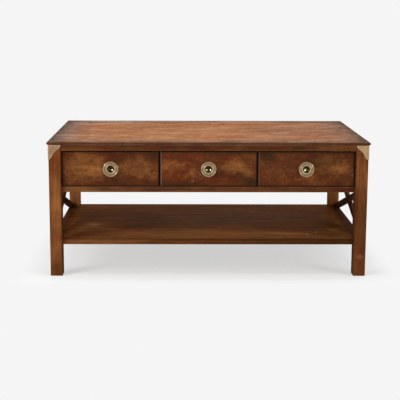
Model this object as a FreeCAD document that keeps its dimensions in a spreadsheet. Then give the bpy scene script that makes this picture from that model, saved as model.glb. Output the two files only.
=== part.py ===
import FreeCAD, Part
import os
import Sketcher

# A low table with three drawers, a shelf and crossed bars at each end.
# X runs along the table, the drawers open towards -Y, Z is up.
# The origin is on the floor, under the middle of the table.

doc = FreeCAD.newDocument("CoffeeTable")

# Driving sizes in millimetres, one row each: name, value, what it is
drivingSizes = [
    ("table_width", 1100.0, "top, along X"),
    ("table_depth", 700.0, "top, along Y"),
    ("table_height", 466.0, "floor to top surface"),
    ("top_thickness", 10.0, "top panel and its edge moulding"),
    ("top_overhang", 5.5, "top edge beyond the legs"),
    ("edge_width", 14.0, "edge moulding, seen from above"),
    ("edge_inset", 5.0, "underside of the moulding back from its edge"),
    ("edge_bevel_rise", 4.5, "height of the bevel under the edge"),
    ("edge_round", 2.0, "rounded upper corner of the edge"),
    ("leg_width", 42.0, "square leg"),
    ("leg_round", 1.5, "eased corners of the legs"),
    ("foot_round", 3.5, "rounded lower edges of the legs"),
    ("apron_height", 163.5, "case below the top"),
    ("apron_thickness", 18.0, "side and back panels"),
    ("apron_setback", 1.5, "upper rail and panels behind the leg faces"),
    ("rail_setback", 12.0, "lower rail and drawers behind the leg faces"),
    ("upper_rail_height", 19.2, "rail over the drawers"),
    ("lower_rail_height", 19.1, "rail under the drawers"),
    ("rail_round", 1.2, "eased front corners of the rails"),
    ("divider_thickness", 16.0, "partition behind the drawer fronts"),
    ("divider_clearance", 2.0, "closed drawer front to the partition"),
    ("outer_runner_width", 45.0, "ledge at each end of the case"),
    ("inner_runner_width", 60.0, "board under each partition"),
    ("guide_height", 30.0, "guide on the outer runners"),
    ("stop_length", 30.0, "stop block along X"),
    ("stop_depth", 12.0, "stop block along Y"),
    ("stop_height", 4.5, "stop block above the lower rail"),
    ("stop_clearance", 0.3, "closed drawer front to its stops"),
    ("stop_inset", 40.0, "stop block in from the side of the drawer"),
    ("shelf_top_height", 125.5, "floor to the shelf surface"),
    ("shelf_thickness", 16.6, "shelf board and its end rails"),
    ("shelf_front_setback", 14.0, "shelf behind the front leg faces"),
    ("shelf_back_setback", 6.0, "shelf before the back leg faces"),
    ("shelf_round", 1.5, "eased long edges of the shelf"),
    ("shelf_rail_width", 18.0, "end rails of the shelf"),
    ("brace_width", 22.0, "cross bar, seen from the end"),
    ("brace_thickness", 12.0, "cross bar along X"),
    ("bracket_thickness", 1.5, "brass plate"),
    ("bracket_height", 49.0, "brass plate, down the leg"),
    ("bracket_foot", 4.5, "width of the lower tip"),
    ("bracket_lip", 2.0, "height of the outer tip"),
    ("ogee_end_share", 0.28, "each outward curve, of the slanting edge of the bracket"),
    ("ogee_bow_share", 0.088, "bow of each curve, of its own length"),
    ("bracket_screw_head_radius", 1.6, "domed head"),
    ("bracket_screw_head_height", 0.7, "head above the plate"),
    ("bracket_screw_radius", 0.9, "shank"),
    ("bracket_screw_length", 11.0, "shank behind the head"),
    ("bracket_screw_inset", 6.0, "upper screws from the edges of the plate"),
    ("bracket_screw_spread", 22.0, "from the first upper screw to the next"),
    ("bracket_screw_rise", 13.0, "lowest screw above the lower tip"),
    ("bracket_screw_stagger", 3.0, "side screws nearer the middle of the plate than the front ones"),
    ("drawer_gap_side", 2.5, "drawer front to the leg, half the gap between two fronts"),
    ("drawer_gap_top", 3.5, "drawer front to the upper rail"),
    ("drawer_gap_bottom", 2.0, "drawer front to the lower rail"),
    ("front_thickness", 20.0, "drawer front"),
    ("front_round", 2.0, "eased edges of the drawer front"),
    ("side_thickness", 12.0, "drawer side"),
    ("side_height", 110.0, "drawer side"),
    ("drawer_rear_clearance", 83.5, "closed drawer to the back panel"),
    ("side_clearance", 1.5, "drawer side to partition or guide"),
    ("runner_clearance", 0.3, "drawer side above its runner"),
    ("housing_depth", 6.0, "side let into the drawer front"),
    ("groove_depth", 5.0, "bottom board let into front and sides"),
    ("back_thickness", 12.0, "drawer back"),
    ("back_drop", 6.0, "top of the back below the sides"),
    ("bottom_thickness", 6.0, "drawer bottom board"),
    ("bottom_rise", 10.0, "bottom board above the lower edge of the sides"),
    ("pull_drop", 1.5, "centre of the pull below the middle of the front"),
    ("pull_radius", 26.5, "rim of the plate"),
    ("pull_proud", 2.8, "rim in front of the drawer"),
    ("pull_round", 1.2, "rounded rim"),
    ("rim_inner_radius", 21.5, "inside of the rim"),
    ("dish_depth", 0.5, "floor of the dish behind the drawer face"),
    ("plate_wall", 1.0, "metal of dish and cup"),
    ("cup_radius", 11.3, "finger cup"),
    ("cup_depth", 7.2, "finger cup behind the dish"),
    ("cup_round", 6.5, "rounded bottom of the cup"),
    ("stud_radius", 2.5, "threaded stud of the plate"),
    ("stud_overrun", 1.5, "stud beyond its nut"),
    ("bore_clearance", 0.2, "wood round the plate"),
    ("ring_outer_radius", 18.3, "ring"),
    ("ring_inner_radius", 12.2, "hole of the ring"),
    ("ring_thickness", 2.6, "ring"),
    ("ring_round", 0.9, "rounded edges of the ring"),
    ("ring_clearance", 0.3, "ring in front of the dish"),
    ("lug_width", 6.0, "ear of the ring on its pin"),
    ("pin_radius", 0.7, "hinge pin"),
    ("pin_height", 18.0, "pin above the middle of the plate"),
    ("pin_length", 26.4, "hinge pin"),
    ("pin_clearance", 0.05, "ring on its pin"),
    ("pin_seat_clearance", 0.02, "pin in the rim"),
    ("nut_radius", 5.0, "nut, centre to corner"),
    ("nut_thickness", 3.5, "nut"),
    ("nut_clearance", 0.05, "nut on its stud"),
    ("top_screw_radius", 2.0, "shank"),
    ("top_screw_head_radius", 4.0, "head"),
    ("top_screw_head_height", 2.5, "head"),
    ("top_screw_bite", 5.0, "screw into the top panel"),
    ("top_screw_inset", 60.0, "screw from the ends of its strip"),
    ("screw_seat_clearance", 0.05, "hole round a screw"),
]

# Sizes and places that follow from the driving ones
derivedSizes = [
    ("top_underside", "Size.table_height - Size.top_thickness"),
    ("leg_outer_x", "Size.table_width / 2 - Size.top_overhang"),
    ("leg_outer_y", "Size.table_depth / 2 - Size.top_overhang"),
    ("leg_inner_x", "leg_outer_x - Size.leg_width"),
    ("leg_inner_y", "leg_outer_y - Size.leg_width"),
    ("apron_outer_x", "leg_outer_x - Size.apron_setback"),
    ("apron_outer_y", "leg_outer_y - Size.apron_setback"),
    ("apron_inner_x", "apron_outer_x - Size.apron_thickness"),
    ("apron_inner_y", "apron_outer_y - Size.apron_thickness"),
    ("apron_base", "top_underside - Size.apron_height"),
    ("opening_base", "apron_base + Size.lower_rail_height"),
    ("opening_top", "top_underside - Size.upper_rail_height"),
    ("opening_height", "opening_top - opening_base"),
    ("face_y", "leg_outer_y - Size.rail_setback"),
    ("bay_pitch", "leg_inner_x * 2 / 3"),
    ("left_bay_x", "-bay_pitch"),
    ("middle_bay_x", "left_bay_x + bay_pitch"),
    ("right_bay_x", "middle_bay_x + bay_pitch"),
    ("divider_x", "bay_pitch / 2"),
    ("box_width", "bay_pitch - Size.divider_thickness - Size.side_clearance * 2"),
    ("front_width", "bay_pitch - Size.drawer_gap_side * 2"),
    ("front_height", "opening_height - Size.drawer_gap_top - Size.drawer_gap_bottom"),
    ("front_base", "opening_base + Size.drawer_gap_bottom"),
    ("front_rear_y", "face_y - Size.front_thickness"),
    ("box_base", "opening_base + Size.runner_clearance"),
    ("box_inner_width", "box_width - Size.side_thickness * 2"),
    ("bottom_base", "box_base + Size.bottom_rise"),
    ("side_front_y", "front_rear_y + Size.housing_depth"),
    ("side_rear_y", "Size.drawer_rear_clearance - apron_inner_y"),
    ("side_length", "side_front_y - side_rear_y"),
    ("panel_front_y", "front_rear_y - Size.divider_clearance"),
    ("pull_rise", "front_height / 2 - Size.pull_drop"),
    ("pull_z", "front_base + pull_rise"),
    ("pull_front_y", "face_y + Size.pull_proud"),
    ("dish_floor", "Size.pull_proud + Size.dish_depth"),
    ("cup_floor", "dish_floor + Size.cup_depth"),
    ("stud_end", "Size.pull_proud + Size.front_thickness + Size.nut_thickness + Size.stud_overrun"),
    ("ring_front", "dish_floor - Size.ring_clearance - Size.ring_thickness"),
    ("pin_depth", "ring_front + Size.ring_thickness / 2"),
    ("brace_rise", "apron_base - Size.shelf_top_height"),
    ("brace_run", "leg_inner_y * 2"),
    ("brace_tilt", "atan2(brace_rise; brace_run)"),
    ("brace_reach", "sqrt(brace_rise * brace_rise + brace_run * brace_run) + Size.brace_width * 2"),
    ("brace_middle_z", "Size.shelf_top_height + brace_rise / 2"),
    ("shelf_base", "Size.shelf_top_height - Size.shelf_thickness"),
    ("shelf_depth", "leg_outer_y * 2 - Size.shelf_front_setback - Size.shelf_back_setback"),
    ("shelf_edge_x", "apron_outer_x - Size.shelf_rail_width"),
    ("ogee_run", "Size.leg_width + Size.bracket_thickness - Size.bracket_foot"),
    ("ogee_drop", "Size.bracket_height - Size.bracket_lip"),
    ("ogee_length", "sqrt(ogee_run * ogee_run + ogee_drop * ogee_drop)"),
    ("ogee_radius_share", "1 / (Size.ogee_bow_share * 8) + Size.ogee_bow_share / 2"),
    ("ogee_end_radius", "ogee_length * Size.ogee_end_share * ogee_radius_share"),
    ("ogee_middle_radius", "ogee_length * ogee_radius_share - ogee_end_radius * 2"),
]


def fillSheet(name, rows):
    sheet = doc.addObject("Spreadsheet::Sheet", name)
    for number, row in enumerate(rows, start=1):
        sheet.set(f"A{number}", row[0])
        sheet.set(f"B{number}", row[1])
        sheet.setAlias(f"B{number}", row[0])
    doc.recompute()
    return sheet


fillSheet("Size", [(name, str(value)) for name, value, note in drivingSizes])
place = fillSheet("Place", [(name, "=" + formula) for name, formula in derivedSizes])

nodes = []


def bind(item, **links):
    for name, formula in links.items():
        item.setExpression(name, formula)


def moveTo(item, x="", y="", z=""):
    for axis, formula in (("x", x), ("y", y), ("z", z)):
        if formula:
            item.setExpression("Placement.Base." + axis, formula)


def turn(item, axis, degrees):
    item.Placement.Rotation = FreeCAD.Rotation(axis, degrees)


def asNode(item, label):
    item.Label = label
    nodes.append(item)
    return item


def evaluate(formula):
    if not formula:
        return 0.0
    number = place.evalExpression(formula)
    return float(getattr(number, "Value", number))


axisX = FreeCAD.Vector(1, 0, 0)
axisY = FreeCAD.Vector(0, 1, 0)
axisZ = FreeCAD.Vector(0, 0, 1)


# Boxes, cylinders and what is cut from or joined to them
def board(name, length, depth, height, x="", y="", z=""):
    item = doc.addObject("Part::Box", name)
    bind(item, Length=length, Width=depth, Height=height)
    moveTo(item, x, y, z)
    return item


def rod(name, radius, length, x="", y="", z="", axis=axisZ, degrees=0):
    item = doc.addObject("Part::Cylinder", name)
    bind(item, Radius=radius, Height=length)
    turn(item, axis, degrees)
    moveTo(item, x, y, z)
    return item


def join(name, shapes):
    item = doc.addObject("Part::MultiFuse", name)
    item.Shapes = shapes
    return item


def cut(name, base, tools):
    item = doc.addObject("Part::Cut", name)
    item.Base = base
    item.Tool = join(name + "_cutters", tools) if len(tools) > 1 else tools[0]
    return item


def group(name, shapes):
    item = doc.addObject("Part::Compound", name)
    item.Links = shapes
    return item


# Bodies made from sketches
def newBody(name):
    return doc.addObject("PartDesign::Body", name)


def newSketch(body, plane, name):
    sketch = body.newObject("Sketcher::SketchObject", name)
    support = [item for item in body.Origin.OriginFeatures if item.Role == plane]
    sketch.AttachmentSupport = [(support[0], "")]
    sketch.MapMode = "FlatFace"
    return sketch


def pinPoint(sketch, curve, end, across, up):
    for kind, formula, otherAxis in (("DistanceX", across, -2), ("DistanceY", up, -1)):
        if formula:
            now = evaluate(formula)
            index = sketch.addConstraint(Sketcher.Constraint(kind, -1, 1, curve, end, now))
            sketch.setExpression(f"Constraints[{index}]", formula)
        else:
            sketch.addConstraint(Sketcher.Constraint("PointOnObject", curve, end, otherAxis))


def polygon(sketch, points):
    corners = [FreeCAD.Vector(evaluate(across), evaluate(up), 0) for across, up in points]
    first = sketch.GeometryCount
    count = len(points)
    for step in range(count):
        sketch.addGeometry(Part.LineSegment(corners[step], corners[(step + 1) % count]))
    for step in range(count):
        following = first + (step + 1) % count
        sketch.addConstraint(Sketcher.Constraint("Coincident", first + step, 2, following, 1))
        pinPoint(sketch, first + step, 1, *points[step])


def circle(sketch, radius, across="", up=""):
    middle = FreeCAD.Vector(evaluate(across), evaluate(up), 0)
    curve = sketch.addGeometry(Part.Circle(middle, axisZ, evaluate(radius)))
    index = sketch.addConstraint(Sketcher.Constraint("Radius", curve, evaluate(radius)))
    sketch.setExpression(f"Constraints[{index}]", radius)
    pinPoint(sketch, curve, 3, across, up)


def pad(body, sketch, length, reverse=False, middle=False):
    feature = body.newObject("PartDesign::Pad", sketch.Name + "_pad")
    feature.Profile = sketch
    feature.Reversed = reverse
    feature.Midplane = middle
    bind(feature, Length=length)
    doc.recompute()
    return feature


def pocket(body, sketch, length, reverse=False, middle=False):
    before = body.Shape.Volume
    feature = body.newObject("PartDesign::Pocket", sketch.Name + "_pocket")
    feature.Profile = sketch
    feature.Reversed = reverse
    feature.Midplane = middle
    bind(feature, Length=length)
    doc.recompute()
    if not body.Shape.Volume < before:
        raise RuntimeError(sketch.Name + " cuts nothing")
    return feature


def edgesWhere(feature, test):
    found = []
    for number, edge in enumerate(feature.Shape.Edges, start=1):
        if all(test(vertex.Point) for vertex in edge.Vertexes):
            found.append(f"Edge{number}")
    return found


def near(first, second):
    return abs(first - second) < Part.Precision.approximation()


def soften(body, feature, edges, radius):
    item = body.newObject("PartDesign::Fillet", feature.Name + "_rounded")
    item.Base = (feature, edges)
    bind(item, Radius=radius)
    doc.recompute()
    return item


# The level edges of a slab that lie at one of the given depths
def levelEdges(slab, *depths):
    found = []
    for name in edgesWhere(slab, lambda point: any(near(point.y, depth) for depth in depths)):
        if near(slab.Shape.getElement(name).BoundBox.ZLength, 0):
            found.append(name)
    return found


def outlineOf(body, points):
    sketch = newSketch(body, "XY_Plane", body.Name + "_outline")
    polygon(sketch, points)
    return sketch


def rectangle(across, up):
    return [("", ""), (across, ""), (across, up), ("", up)]


# Top: a panel inside four mitred edge mouldings
def topPanel():
    return board("top_panel_board", "Size.table_width - Size.edge_width * 2",
                 "Size.table_depth - Size.edge_width * 2", "Size.top_thickness",
                 "-Size.table_width / 2 + Size.edge_width",
                 "-Size.table_depth / 2 + Size.edge_width", "Place.top_underside")


def topEdge(side, length, degrees, x, y):
    label = "top_edge_" + side
    body = newBody(label)
    profile = newSketch(body, "YZ_Plane", label + "_profile")
    polygon(profile, [
        ("Size.edge_inset", ""),
        ("Size.edge_width", ""),
        ("Size.edge_width", "Size.top_thickness"),
        ("", "Size.top_thickness"),
        ("", "Size.edge_bevel_rise"),
    ])
    strip = pad(body, profile, length)
    depth = evaluate("Size.top_thickness")
    rim = edgesWhere(strip, lambda point: near(point.y, 0) and near(point.z, depth))
    soften(body, strip, rim, "Size.edge_round")
    for end, start, reach in (("start", "", "Size.edge_width"),
                              ("finish", length, f"{length} - Size.edge_width")):
        mitre = newSketch(body, "XY_Plane", f"{label}_mitre_{end}")
        polygon(mitre, [(start, ""), (reach, "Size.edge_width"), (start, "Size.edge_width")])
        pocket(body, mitre, "Size.top_thickness", reverse=True)
    turn(body, axisZ, degrees)
    moveTo(body, x, y, "Place.top_underside")
    return asNode(body, label)


# Legs, all from one square section with eased corners
def leg(label, x, y, pilots):
    body = newBody(label + "_post")
    section = outlineOf(body, rectangle("Size.leg_width", "Size.leg_width"))
    post = pad(body, section, "Place.top_underside")
    sole = edgesWhere(post, lambda point: near(point.z, 0))
    foot = soften(body, post, sole, "Size.foot_round")
    upright = [f"Edge{number}" for number, edge in enumerate(foot.Shape.Edges, start=1)
               if near(edge.BoundBox.XLength, 0) and near(edge.BoundBox.YLength, 0)]
    soften(body, foot, upright, "Size.leg_round")
    moveTo(body, x, y)
    asNode(cut(label, body, [pilots]), label)


# Case: rails, panels, partitions and the strips that guide the drawers
def frontRail(label, depth, height, y, z):
    body = newBody(label)
    slab = pad(body, outlineOf(body, rectangle("Place.leg_inner_x * 2", depth)), height)
    soften(body, slab, levelEdges(slab, 0), "Size.rail_round")
    moveTo(body, "-Place.leg_inner_x", y, z)
    asNode(body, label)


def casePanels():
    asNode(board("back_apron_board", "Place.leg_inner_x * 2", "Size.apron_thickness",
                 "Size.apron_height", "-Place.leg_inner_x", "Place.apron_inner_y",
                 "Place.apron_base"), "back_apron")
    for side, x in (("left", "-Place.apron_outer_x"), ("right", "Place.apron_inner_x")):
        asNode(board("side_apron_board_" + side, "Size.apron_thickness", "Place.leg_inner_y * 2",
                     "Size.apron_height", x, "-Place.leg_inner_y", "Place.apron_base"),
               "side_apron_" + side)


def dividers():
    for side, middle in (("left", "-Place.divider_x"), ("right", "Place.divider_x")):
        asNode(board("divider_board_" + side, "Size.divider_thickness",
                     "Place.apron_inner_y + Place.panel_front_y", "Place.opening_height",
                     middle + " - Size.divider_thickness / 2", "-Place.panel_front_y",
                     "Place.opening_base"), "divider_" + side)


def drawerStrips():
    outerStarts = (("left", "-Place.apron_inner_x", "-Place.apron_inner_x"),
                   ("right", "Place.apron_inner_x - Size.outer_runner_width",
                    "Place.bay_pitch + Place.box_width / 2 + Size.side_clearance"))
    guideWidth = "Place.apron_inner_x - Place.bay_pitch - Place.box_width / 2 - Size.side_clearance"
    outer = []
    upper = []
    for side, x, guideX in outerStarts:
        ledge = board("outer_ledge_" + side, "Size.outer_runner_width", "Place.leg_inner_y * 2",
                      "Size.lower_rail_height", x, "-Place.leg_inner_y", "Place.apron_base")
        guide = board("outer_guide_" + side, guideWidth, "Place.leg_inner_y * 2",
                      "Size.guide_height", guideX, "-Place.leg_inner_y", "Place.opening_base")
        outer.append(join("outer_runner_" + side, [ledge, guide]))
        upper.append(board("outer_kicker_" + side, "Size.outer_runner_width",
                           "Place.leg_inner_y * 2", "Size.upper_rail_height", x,
                           "-Place.leg_inner_y", "Place.opening_top"))
    inner = []
    for side, middle in (("left", "-Place.divider_x"), ("right", "Place.divider_x")):
        x = middle + " - Size.inner_runner_width / 2"
        depth = "Place.apron_inner_y + Place.leg_inner_y"
        inner.append(board("inner_runner_" + side, "Size.inner_runner_width", depth,
                           "Size.lower_rail_height", x, "-Place.leg_inner_y", "Place.apron_base"))
        upper.append(board("inner_kicker_" + side, "Size.inner_runner_width", depth,
                           "Size.upper_rail_height", x, "-Place.leg_inner_y", "Place.opening_top"))
    asNode(group("outer_runners", outer), "outer_runners")
    asNode(group("inner_runners", inner), "inner_runners")
    return upper


# Screws run up through the strips into the top panel
def topScrews(strips):
    columns = []
    for side, sign in (("left", "-"), ("right", "")):
        outerX = f"{sign}(Place.apron_inner_x - Size.outer_runner_width / 2)"
        columns.append(("outer_" + side, outerX, "Place.leg_inner_y"))
        columns.append(("inner_" + side, f"{sign}Place.divider_x", "Place.apron_inner_y"))
    screws = []
    holes = []
    for name, x, rearEnd in columns:
        rows = (("front", "-Place.leg_inner_y + Size.top_screw_inset"),
                ("rear", rearEnd + " - Size.top_screw_inset"))
        for row, y in rows:
            shank = rod(f"top_screw_shank_{name}_{row}", "Size.top_screw_radius",
                        "Size.upper_rail_height + Size.top_screw_bite", x, y, "Place.opening_top")
            head = rod(f"top_screw_head_{name}_{row}", "Size.top_screw_head_radius",
                       "Size.top_screw_head_height", x, y, "Place.opening_top")
            screws.append(join(f"top_screw_{name}_{row}", [shank, head]))
            holes.append(rod(f"top_screw_hole_{name}_{row}",
                             "Size.top_screw_radius + Size.screw_seat_clearance",
                             "Size.upper_rail_height + Size.top_screw_bite", x, y,
                             "Place.opening_top"))
            holes.append(rod(f"top_screw_sink_{name}_{row}",
                             "Size.top_screw_head_radius + Size.screw_seat_clearance",
                             "Size.top_screw_head_height", x, y, "Place.opening_top"))
    asNode(group("top_screws", screws), "top_screws")
    asNode(cut("kickers", group("kicker_strips", strips), holes), "kickers")
    asNode(cut("top_panel", topPanel(), holes), "top_panel")


def drawerStops():
    blocks = []
    for bay, middle in bays:
        for side, x in (("left", f"{middle} - Place.box_width / 2 + Size.stop_inset"),
                        ("right", f"{middle} + Place.box_width / 2 - Size.stop_inset"
                         " - Size.stop_length")):
            blocks.append(board(f"stop_{bay}_{side}", "Size.stop_length", "Size.stop_depth",
                                "Size.stop_height", x,
                                "-Place.front_rear_y + Size.stop_clearance",
                                "Place.opening_base"))
    asNode(group("drawer_stops", blocks), "drawer_stops")


# Shelf: a board let in round the legs, with a rail at each end for the cross bars
def shelf():
    body = newBody("shelf_panel")
    length = "Place.shelf_edge_x * 2"
    notch = "Place.shelf_edge_x - Place.leg_inner_x"
    frontNotch = "Size.leg_width - Size.shelf_front_setback"
    rearNotch = "Place.shelf_depth - Size.leg_width + Size.shelf_back_setback"
    inner = f"{length} - ({notch})"
    outline = outlineOf(body, [
        (notch, ""), (inner, ""), (inner, frontNotch), (length, frontNotch),
        (length, rearNotch), (inner, rearNotch), (inner, "Place.shelf_depth"),
        (notch, "Place.shelf_depth"), (notch, rearNotch), ("", rearNotch),
        ("", frontNotch), (notch, frontNotch),
    ])
    slab = pad(body, outline, "Size.shelf_thickness")
    rims = levelEdges(slab, 0, evaluate("Place.shelf_depth"))
    soften(body, slab, rims, "Size.shelf_round")
    moveTo(body, "-Place.shelf_edge_x", "-Place.leg_outer_y + Size.shelf_front_setback",
           "Place.shelf_base")
    asNode(body, "shelf_panel")
    for side, x in (("left", "-Place.apron_outer_x"), ("right", "Place.shelf_edge_x")):
        asNode(board("shelf_rail_board_" + side, "Size.shelf_rail_width", "Place.leg_inner_y * 2",
                     "Size.shelf_thickness", x, "-Place.leg_inner_y", "Place.shelf_base"),
               "shelf_rail_" + side)


# Cross bars: two bars halved over each other in each end opening
def braceBar(name, x, thickness, sign):
    bar = board(name + "_bar", thickness, "Place.brace_reach", "Size.brace_width")
    bar.setExpression("Placement.Rotation.Angle", f"{sign}Place.brace_tilt")
    bar.setExpression("Placement.Rotation.Axis.x", "1")
    bar.setExpression("Placement.Rotation.Axis.z", "0")
    reach = "Place.brace_reach / 2"
    half = "Size.brace_width / 2"
    tilt = f"{sign}Place.brace_tilt"
    moveTo(bar, x, f"-{reach} * cos({tilt}) + {half} * sin({tilt})",
           f"Place.brace_middle_z - {reach} * sin({tilt}) - {half} * cos({tilt})")
    return bar


def crossBars():
    for side, outerX in (("left", "-Place.apron_outer_x"),
                         ("right", "Place.apron_outer_x - Size.brace_thickness")):
        halfX = outerX + " + Size.brace_thickness / 2"
        for kind, sign, otherSign, lapX in (("rising", "", "-", halfX),
                                            ("falling", "-", "", outerX)):
            name = f"brace_{side}_{kind}"
            bar = braceBar(name, outerX, "Size.brace_thickness", sign)
            opening = board(name + "_opening", "Size.brace_thickness", "Place.brace_run",
                            "Place.brace_rise", outerX, "-Place.leg_inner_y",
                            "Size.shelf_top_height")
            trimmed = doc.addObject("Part::Common", name + "_trimmed")
            trimmed.Base = bar
            trimmed.Tool = opening
            lap = braceBar(name + "_lap", lapX, "Size.brace_thickness / 2", otherSign)
            asNode(cut(name, trimmed, [lap]), name)


# Brass brackets: a plate bent round each corner, its slanting edge curved out, in and out again
def ogeeOutline(sketch):
    across = "Size.leg_width + Size.bracket_thickness"
    foot = ("Size.bracket_foot", "")
    tip = (across, "Place.ogee_drop")
    points = [foot, ("", ""), ("", "Size.bracket_height"), (across, "Size.bracket_height"), tip]
    corners = [pointOf(place) for place in points]
    for step in range(len(corners) - 1):
        sketch.addGeometry(Part.LineSegment(corners[step], corners[step + 1]))
        if step:
            sketch.addConstraint(Sketcher.Constraint("Coincident", step - 1, 2, step, 1))
        pinPoint(sketch, step, 1, *points[step])
    pinPoint(sketch, len(corners) - 2, 2, *tip)
    upperTurn = (f"{across} - Place.ogee_run * Size.ogee_end_share",
                 "Place.ogee_drop * (1 - Size.ogee_end_share)")
    lowerTurn = ("Size.bracket_foot + Place.ogee_run * Size.ogee_end_share",
                 "Place.ogee_drop * Size.ogee_end_share")
    for start, finish, radius, bulge in (
        (tip, upperTurn, "Place.ogee_end_radius", 1),
        (upperTurn, lowerTurn, "Place.ogee_middle_radius", -1),
        (lowerTurn, foot, "Place.ogee_end_radius", 1),
    ):
        curve = arcThrough(sketch, pointOf(start), pointOf(finish), evaluate(radius), bulge)
        index = sketch.addConstraint(Sketcher.Constraint("Radius", curve, evaluate(radius)))
        sketch.setExpression(f"Constraints[{index}]", radius)
        for spot in (start, finish):
            pinPoint(sketch, curve, nearEnd(sketch, curve, pointOf(spot)), *spot)


def pointOf(place):
    return FreeCAD.Vector(evaluate(place[0]), evaluate(place[1]), 0)


def arcThrough(sketch, start, finish, radius, bulge):
    chord = finish - start
    halfway = (start + finish) / 2
    sagitta = radius - (radius ** 2 - (chord.Length / 2) ** 2) ** 0.5
    outward = axisZ.cross(chord).normalize() * bulge
    return sketch.addGeometry(Part.Arc(start, halfway + outward * sagitta, finish))


def nearEnd(sketch, curve, point):
    startGap = sketch.getPoint(curve, 1).distanceToPoint(point)
    return 1 if startGap < sketch.getPoint(curve, 2).distanceToPoint(point) else 2


# Each screw: its name, its place across the plate, its height in front and at the side
upperScrew = "Size.bracket_height - Size.bracket_screw_inset"
bracketScrewSpots = [
    ("corner", "Size.bracket_screw_inset", upperScrew, upperScrew + " - Size.bracket_screw_stagger"),
    ("outer", "Size.bracket_screw_inset + Size.bracket_screw_spread", upperScrew,
     upperScrew + " - Size.bracket_screw_stagger"),
    ("lower", "Size.bracket_screw_inset", "Size.bracket_screw_rise",
     "Size.bracket_screw_rise + Size.bracket_screw_stagger"),
]


def bracket(label, degrees, x, y):
    body = newBody(label)
    front = newSketch(body, "XZ_Plane", label + "_front")
    ogeeOutline(front)
    frontPlate = pad(body, front, "Size.bracket_thickness", reverse=True)
    side = newSketch(body, "YZ_Plane", label + "_side")
    ogeeOutline(side)
    bent = pad(body, side, "Size.bracket_thickness")
    corner = [name for name in edgesWhere(bent, lambda point: near(point.x, 0) and near(point.y, 0))
              if bent.Shape.getElement(name).BoundBox.ZLength > 0]
    soften(body, bent, corner, "Size.bracket_thickness")
    for name, across, frontUp, sideUp in bracketScrewSpots:
        for plane, up, reverse in (("XZ_Plane", frontUp, False), ("YZ_Plane", sideUp, True)):
            hole = newSketch(body, plane, f"{label}_{plane}_{name}")
            circle(hole, "Size.bracket_screw_radius + Size.screw_seat_clearance", across, up)
            pocket(body, hole, "Size.bracket_thickness", reverse=reverse)
    turn(body, axisZ, degrees)
    moveTo(body, x, y, "Place.top_underside - Size.bracket_height")
    return asNode(body, label)


# Two screws at each spot, run into pilot holes in the leg
def bracketScrews(label, degrees, x, y):
    screws = []
    pilots = []
    depth = "Size.bracket_screw_head_height + Size.bracket_screw_length"
    for name, across, frontUp, sideUp in bracketScrewSpots:
        for face, up, axis, angle in (("front", frontUp, axisX, -90), ("side", sideUp, axisY, 90)):
            start = "-Size.bracket_screw_head_height"
            spot = (across, start, up) if face == "front" else (start, across, up)
            title = f"{label}_{face}_{name}"
            head = rod(title + "_head", "Size.bracket_screw_head_radius",
                       "Size.bracket_screw_head_height", *spot, axis, angle)
            shank = rod(title + "_shank", "Size.bracket_screw_radius", depth, *spot, axis, angle)
            screws.append(join(title + "_screw", [head, shank]))
            pilots.append(rod(title + "_pilot", "Size.bracket_screw_radius + Size.screw_seat_clearance",
                              depth, *spot, axis, angle))
    corner = group(label + "_screws", screws)
    drill = group(label + "_pilots", pilots)
    for item in (corner, drill):
        turn(item, axisZ, degrees)
        moveTo(item, x, y, "Place.top_underside - Size.bracket_height")
    return corner, drill


# Drawers: a front with two housed sides, a back and a bottom board let into grooves
def drawer(bay, middle):
    left = f"{middle} - Place.box_width / 2"
    right = f"{middle} + Place.box_width / 2 - Size.side_thickness"
    name = "drawer_" + bay
    slab = drawerSlab(name, f"{middle} - Place.front_width / 2")
    housings = []
    for side, x in (("left", left), ("right", right)):
        housings.append(board(f"{name}_{side}_housing", "Size.side_thickness",
                              "Size.housing_depth", "Size.side_height", x,
                              "-Place.side_front_y", "Place.box_base"))
    frontGroove = board(name + "_front_groove", "Place.box_inner_width", "Size.groove_depth",
                        "Size.bottom_thickness", f"{left} + Size.side_thickness",
                        "-Place.front_rear_y - Size.groove_depth", "Place.bottom_base")
    asNode(cut(name + "_front", slab, housings + [frontGroove]), name + "_front")
    bottomDepth = "Place.front_rear_y - Place.side_rear_y + Size.groove_depth"
    for side, x, grooveX in (("left", left, f"{left} + Size.side_thickness - Size.groove_depth"),
                             ("right", right, right)):
        plank = board(f"{name}_{side}_plank", "Size.side_thickness", "Place.side_length",
                      "Size.side_height", x, "-Place.side_front_y", "Place.box_base")
        groove = board(f"{name}_{side}_groove", "Size.groove_depth",
                       "Place.front_rear_y - Place.side_rear_y", "Size.bottom_thickness",
                       grooveX, "-Place.front_rear_y", "Place.bottom_base")
        asNode(cut(f"{name}_{side}_side", plank, [groove]), f"{name}_{side}_side")
    asNode(board(name + "_back_board", "Place.box_inner_width", "Size.back_thickness",
                 "Size.side_height - Size.bottom_rise - Size.bottom_thickness - Size.back_drop",
                 f"{left} + Size.side_thickness", "-Place.side_rear_y - Size.back_thickness",
                 "Place.bottom_base + Size.bottom_thickness"), name + "_back")
    wide = board(name + "_bottom_board", "Place.box_inner_width + Size.groove_depth * 2",
                 "Place.front_rear_y - Place.side_rear_y", "Size.bottom_thickness",
                 f"{left} + Size.side_thickness - Size.groove_depth", "-Place.front_rear_y",
                 "Place.bottom_base")
    tongue = board(name + "_bottom_tongue", "Place.box_inner_width", bottomDepth,
                   "Size.bottom_thickness", f"{left} + Size.side_thickness",
                   "-Place.front_rear_y - Size.groove_depth", "Place.bottom_base")
    asNode(join(name + "_bottom", [wide, tongue]), name + "_bottom")


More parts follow.
